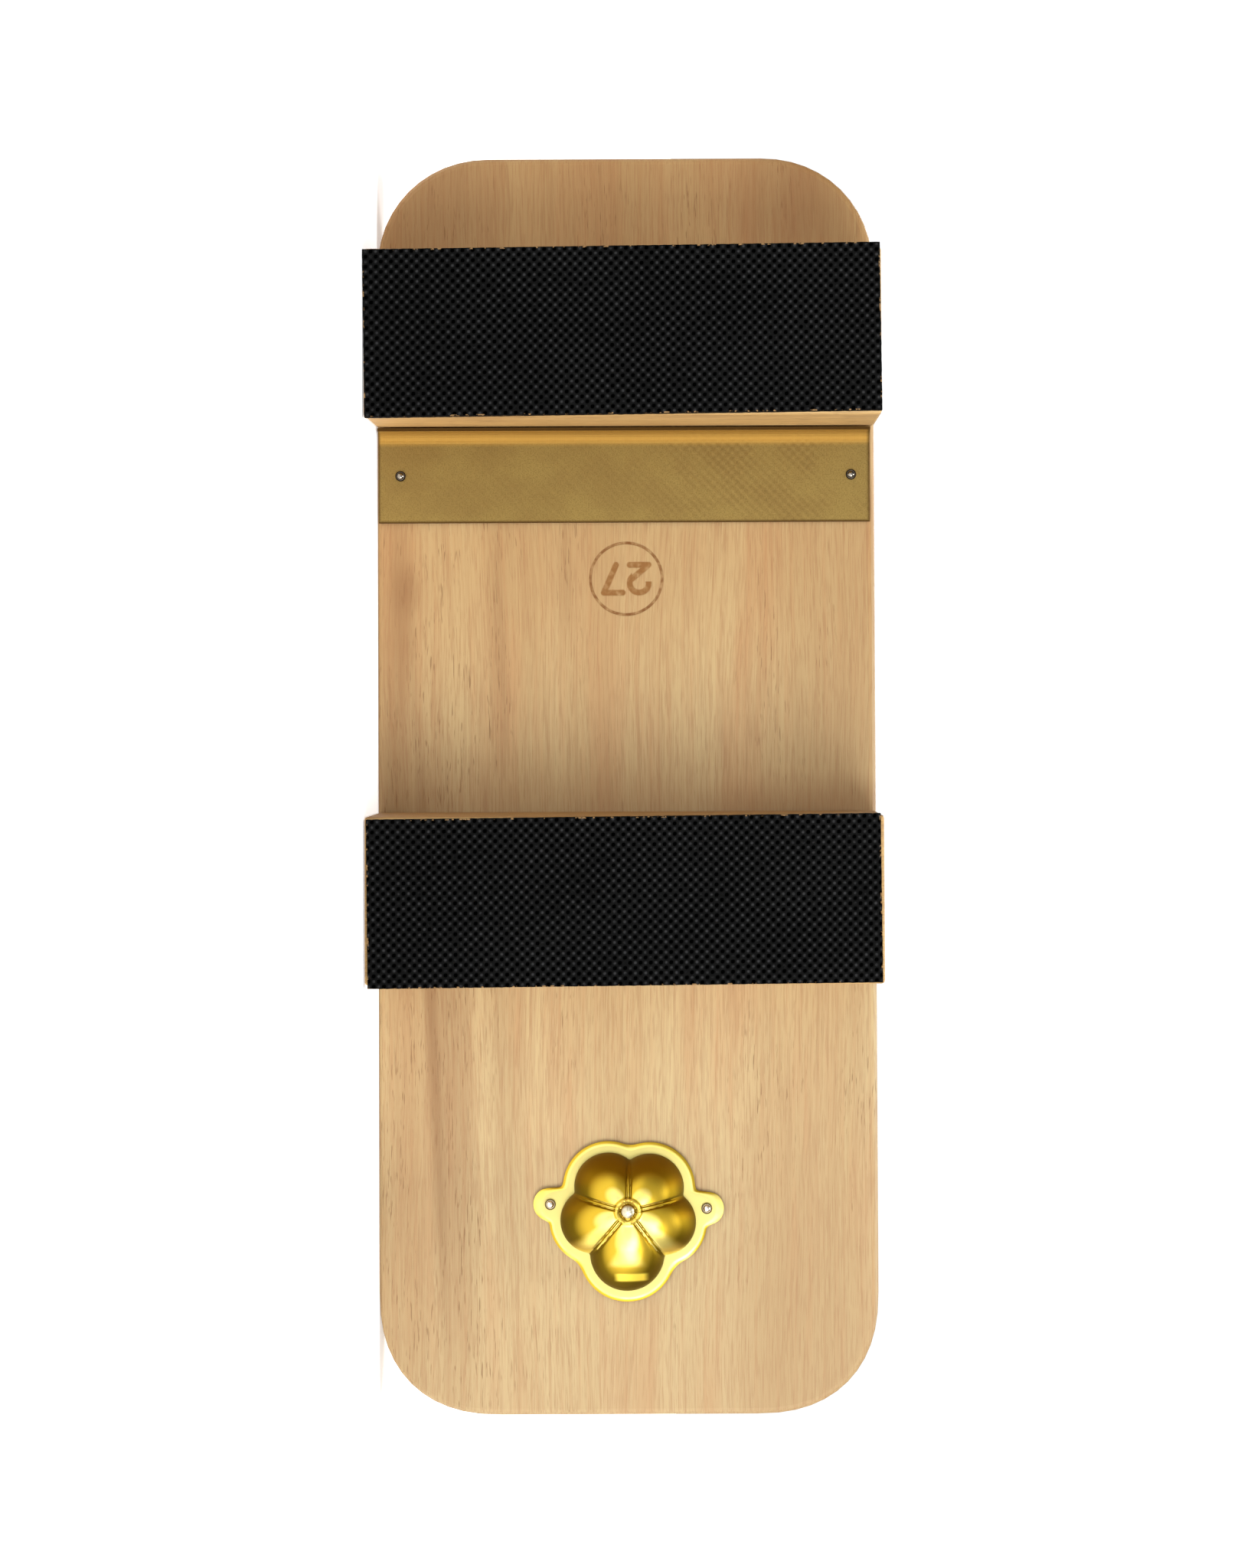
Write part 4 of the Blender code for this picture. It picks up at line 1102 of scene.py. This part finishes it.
def leg_rings(spread, relief):
    """Sections of one leg, and how far along the leg each one is."""
    points = spline(leg_stations(spread), STRAP_STEPS)
    middles = [Vector(point[:3]) for point in points]
    mirrored = Vector((middles[1].x, -middles[1].y, middles[1].z))
    below = middles[-1] - Vector((0.0, 0.0, PLANK_THICKNESS))
    known = [mirrored, *middles, below]
    down = Vector((0.0, 0.0, -1.0))
    rings, run = [], []
    far = 0.0
    for i, (x, y, z, lean, width, thickness) in enumerate(points):
        along = (known[i + 2] - known[i]).normalized()
        if i:
            far += (middles[i] - middles[i - 1]).length
        if i == len(points) - 1:
            along = down
        rings.append(section(Vector((x, y, z)), along, lean, width, thickness, far, relief))
        run.append(far)
    knot = REAR_HOLE_DIAMETER + 2 * KNOT_RECESS_RIM - 2 * GAP
    for height, fullness in END_KNOT_RINGS:
        middle = Vector((REAR_HOLES, REAR_HOLE_OUT, height * (KNOT_RECESS_DEPTH - GAP)))
        size = mix(STRAP_END_DIAMETER, knot, fullness)
        rings.append(section(middle, down, math.pi / 2, size, size, far, False))
        run.append(far + PLANK_THICKNESS - middle.z)
    return rings, run


def leg_spread():
    """How far out the legs' middle lines go for the strap to reach the plank's sides."""
    spread = HALF_WIDTH - PAD_THICKNESS / 2
    for _ in range(SPREAD_ROUNDS):
        reach = max(point.y for ring in leg_rings(spread, False)[0] for point in ring)
        spread += HALF_WIDTH - reach
    return spread


def make_strap(material):
    left, run = leg_rings(leg_spread(), True)
    right = [[Vector((p.x, -p.y, p.z)) for p in ring] for ring in left[1:]]
    rings = right[::-1] + left
    runs = [-far for far in run[:0:-1]] + run
    points, faces = sew_rings([[laid(p.x, p.y, p.z) for p in ring] for ring in rings])
    uvs = []
    for ring, far in zip(rings, runs):
        round_it = sum((a - b).length for a, b in zip(ring, ring[1:] + ring[:1]))
        uvs += [(round_it * i / STRAP_SIDES, far) for i in range(STRAP_SIDES)]
    piece = new_piece("thong_strap_cloth", points, faces, material, uvs)
    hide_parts("thong_strap")


CORD_VOXEL = 0.45 * MM
CORD_ROUNDS = 5


def make_toe_cord(material):
    """The toe cord's cloth, soft at its edges: its solid, remeshed finely and relaxed."""
    name = "toe_cord_cloth"
    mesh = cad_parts["toe_cord"].data.copy()
    mesh.name = name
    piece = new_object(name, mesh)
    remesh = piece.modifiers.new("Fine mesh", "REMESH")
    remesh.mode = "VOXEL"
    remesh.voxel_size = CORD_VOXEL
    relax = piece.modifiers.new("Relaxed", "SMOOTH")
    relax.factor = 0.5
    relax.iterations = CORD_ROUNDS
    bpy.context.view_layer.update()
    made = bpy.data.meshes.new_from_object(piece.evaluated_get(bpy.context.evaluated_depsgraph_get()))
    piece.modifiers.clear()
    piece.data = made
    made.name = name
    made.materials.clear()
    made.materials.append(material)
    made.shade_smooth()
    layer = made.uv_layers.new(name="UV")
    for loop in made.loops:
        point = made.vertices[loop.vertex_index].co
        layer.data[loop.index].uv = (point.z, point.y + 0.5 * point.x)
    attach(piece, ROOT)
    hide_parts("toe_cord")


# Floor, light and camera

LAMP_TARGET = Vector((0.0, 0.0, HALF_WIDTH))
# The size of an area lamp is in metres, and a sun's is the angle that it fills, in degrees
Lamp = namedtuple("Lamp", "name kind place power size colour", defaults=((1.0, 1.0, 1.0),))
LAMPS = (
    Lamp("key_softbox", "AREA", (1.0, -1.55, 0.36), power=23.6, size=1.15, colour=(1.0, 0.99, 0.97)),
    Lamp("floor_light", "SUN", (0.05, -0.13, 1.2), power=2.9, size=20),
    Lamp("back_light", "SUN", (-0.3, 1.2, 0.9), power=1.8, size=30),
)
SURROUND = 0.26  # strength of the surround's light from every side
FRONT_MORE = 0.47
TOE_MORE = 0.28
HEEL_LESS = -0.18
SURROUND_SEEN = 1.05
FLOOR_GREY = (0.92, 0.92, 0.92)
FLOOR_GLOW = 0.42


def make_floor():
    size = 12.0
    mesh = bpy.data.meshes.new("studio_floor")
    corners = [(-size, -size, 0), (size, -size, 0), (size, size, 0), (-size, size, 0)]
    mesh.from_pydata(corners, [], [(0, 1, 2, 3)])
    material, nodes = new_material("studio_white")
    shader = nodes.shade(FLOOR_GREY, 0.9, specular=0.0)
    nodes.feed_all(shader, Emission_Color=(1.0, 1.0, 1.0), Emission_Strength=FLOOR_GLOW)
    mesh.materials.append(material)
    floor = new_object("studio_floor", mesh)


def add_lamp(lamp):
    """A lamp that looks at the sandal."""
    data = bpy.data.lights.new(lamp.name, lamp.kind)
    data.energy = lamp.power
    data.color = lamp.colour
    if lamp.kind == "AREA":
        data.shape = "DISK"
        data.size = lamp.size
    else:
        data.angle = math.radians(lamp.size)
    light = new_object(lamp.name, data)
    light.location = lamp.place
    direction = LAMP_TARGET - light.location
    light.rotation_euler = direction.to_track_quat("-Z", "Y").to_euler()
    light.visible_camera = False


def make_world():
    """A white surround for the camera. For light it is bright behind the camera and dim at the heel."""
    world = bpy.data.worlds.new("studio_surround")
    bpy.context.scene.world = world
    nodes = Nodes(world)
    background = nodes.nodes["Background"]
    toward = nodes.add("TexCoord").outputs["Generated"]
    x, y, _ = nodes.split(toward)
    front = nodes.smooth(y, -0.35, -0.80)
    toe = nodes.times(nodes.smooth(x, 0.75, 0.95), TOE_MORE)
    heel = nodes.times(nodes.smooth(x, -0.15, -0.70), HEEL_LESS)
    strength = nodes.total(SURROUND, nodes.times(front, FRONT_MORE), toe, heel)
    seen = nodes.add("LightPath").outputs["Is Camera Ray"]
    strength = nodes.most(strength, nodes.times(seen, SURROUND_SEEN))
    nodes.feed_all(background, Color=(1.0, 1.0, 1.0), Strength=strength)


# The camera looks at the sole along +Y with the heel up in the picture and the floor at its left
CAMERA_ALONG = -0.016
CAMERA_UP = 0.070
CAMERA_AWAY = 0.760  # from the plank's underside
CAMERA_TILT = math.radians(1.3)  # of the picture's plane, a little nearer to the toe
CAMERA_ROLL = math.radians(-0.25)
LENS = 78.25
SENSOR = 36.0


def make_camera():
    data = bpy.data.cameras.new("camera")
    data.lens = LENS
    data.sensor_width = SENSOR
    data.clip_start = 0.05
    data.clip_end = 60.0
    location = Vector((CAMERA_ALONG, SOLE_FACE - CAMERA_AWAY, CAMERA_UP))
    heel_up = Matrix(((0, -1, 0), (0, 0, -1), (1, 0, 0))).to_4x4()
    tilt = Matrix.Rotation(CAMERA_TILT, 4, "X")
    roll = Matrix.Rotation(CAMERA_ROLL, 4, "Z")
    placed = Matrix.Translation(location) @ heel_up @ tilt @ roll
    middle = placed.inverted() @ Vector((0.0, SOLE_FACE, HALF_WIDTH))
    data.shift_x = middle.x / -middle.z * LENS / SENSOR
    data.shift_y = middle.y / -middle.z * LENS / SENSOR
    camera = new_object("camera", data)
    camera.matrix_world = placed
    bpy.context.scene.camera = camera


def light_studio():
    for lamp in LAMPS:
        add_lamp(lamp)
    make_world()
    bpy.context.scene.view_settings.view_transform = "Standard"


def main():
    dress("plank", plank_material())
    tooth_wood = tooth_material()
    for node in ("heel_tooth", "ball_tooth"):
        dress(node, tooth_wood)
    dress("heel_plate", plate_material())
    rubber = tread_material()
    for tread in TREADS:
        make_tread(tread, rubber)
    make_cap(cap_material())
    nail_metal = nail_material()
    for node in NAIL_NODES:
        make_nail(node, nail_metal)
    make_strap(fabric_material("strap_fabric_look", THREAD, STRAP_PALE))
    make_toe_cord(fabric_material("cord_fabric_look", 0.8 * THREAD, CORD_PALE))
    make_floor()
    light_studio()
    make_camera()


main()
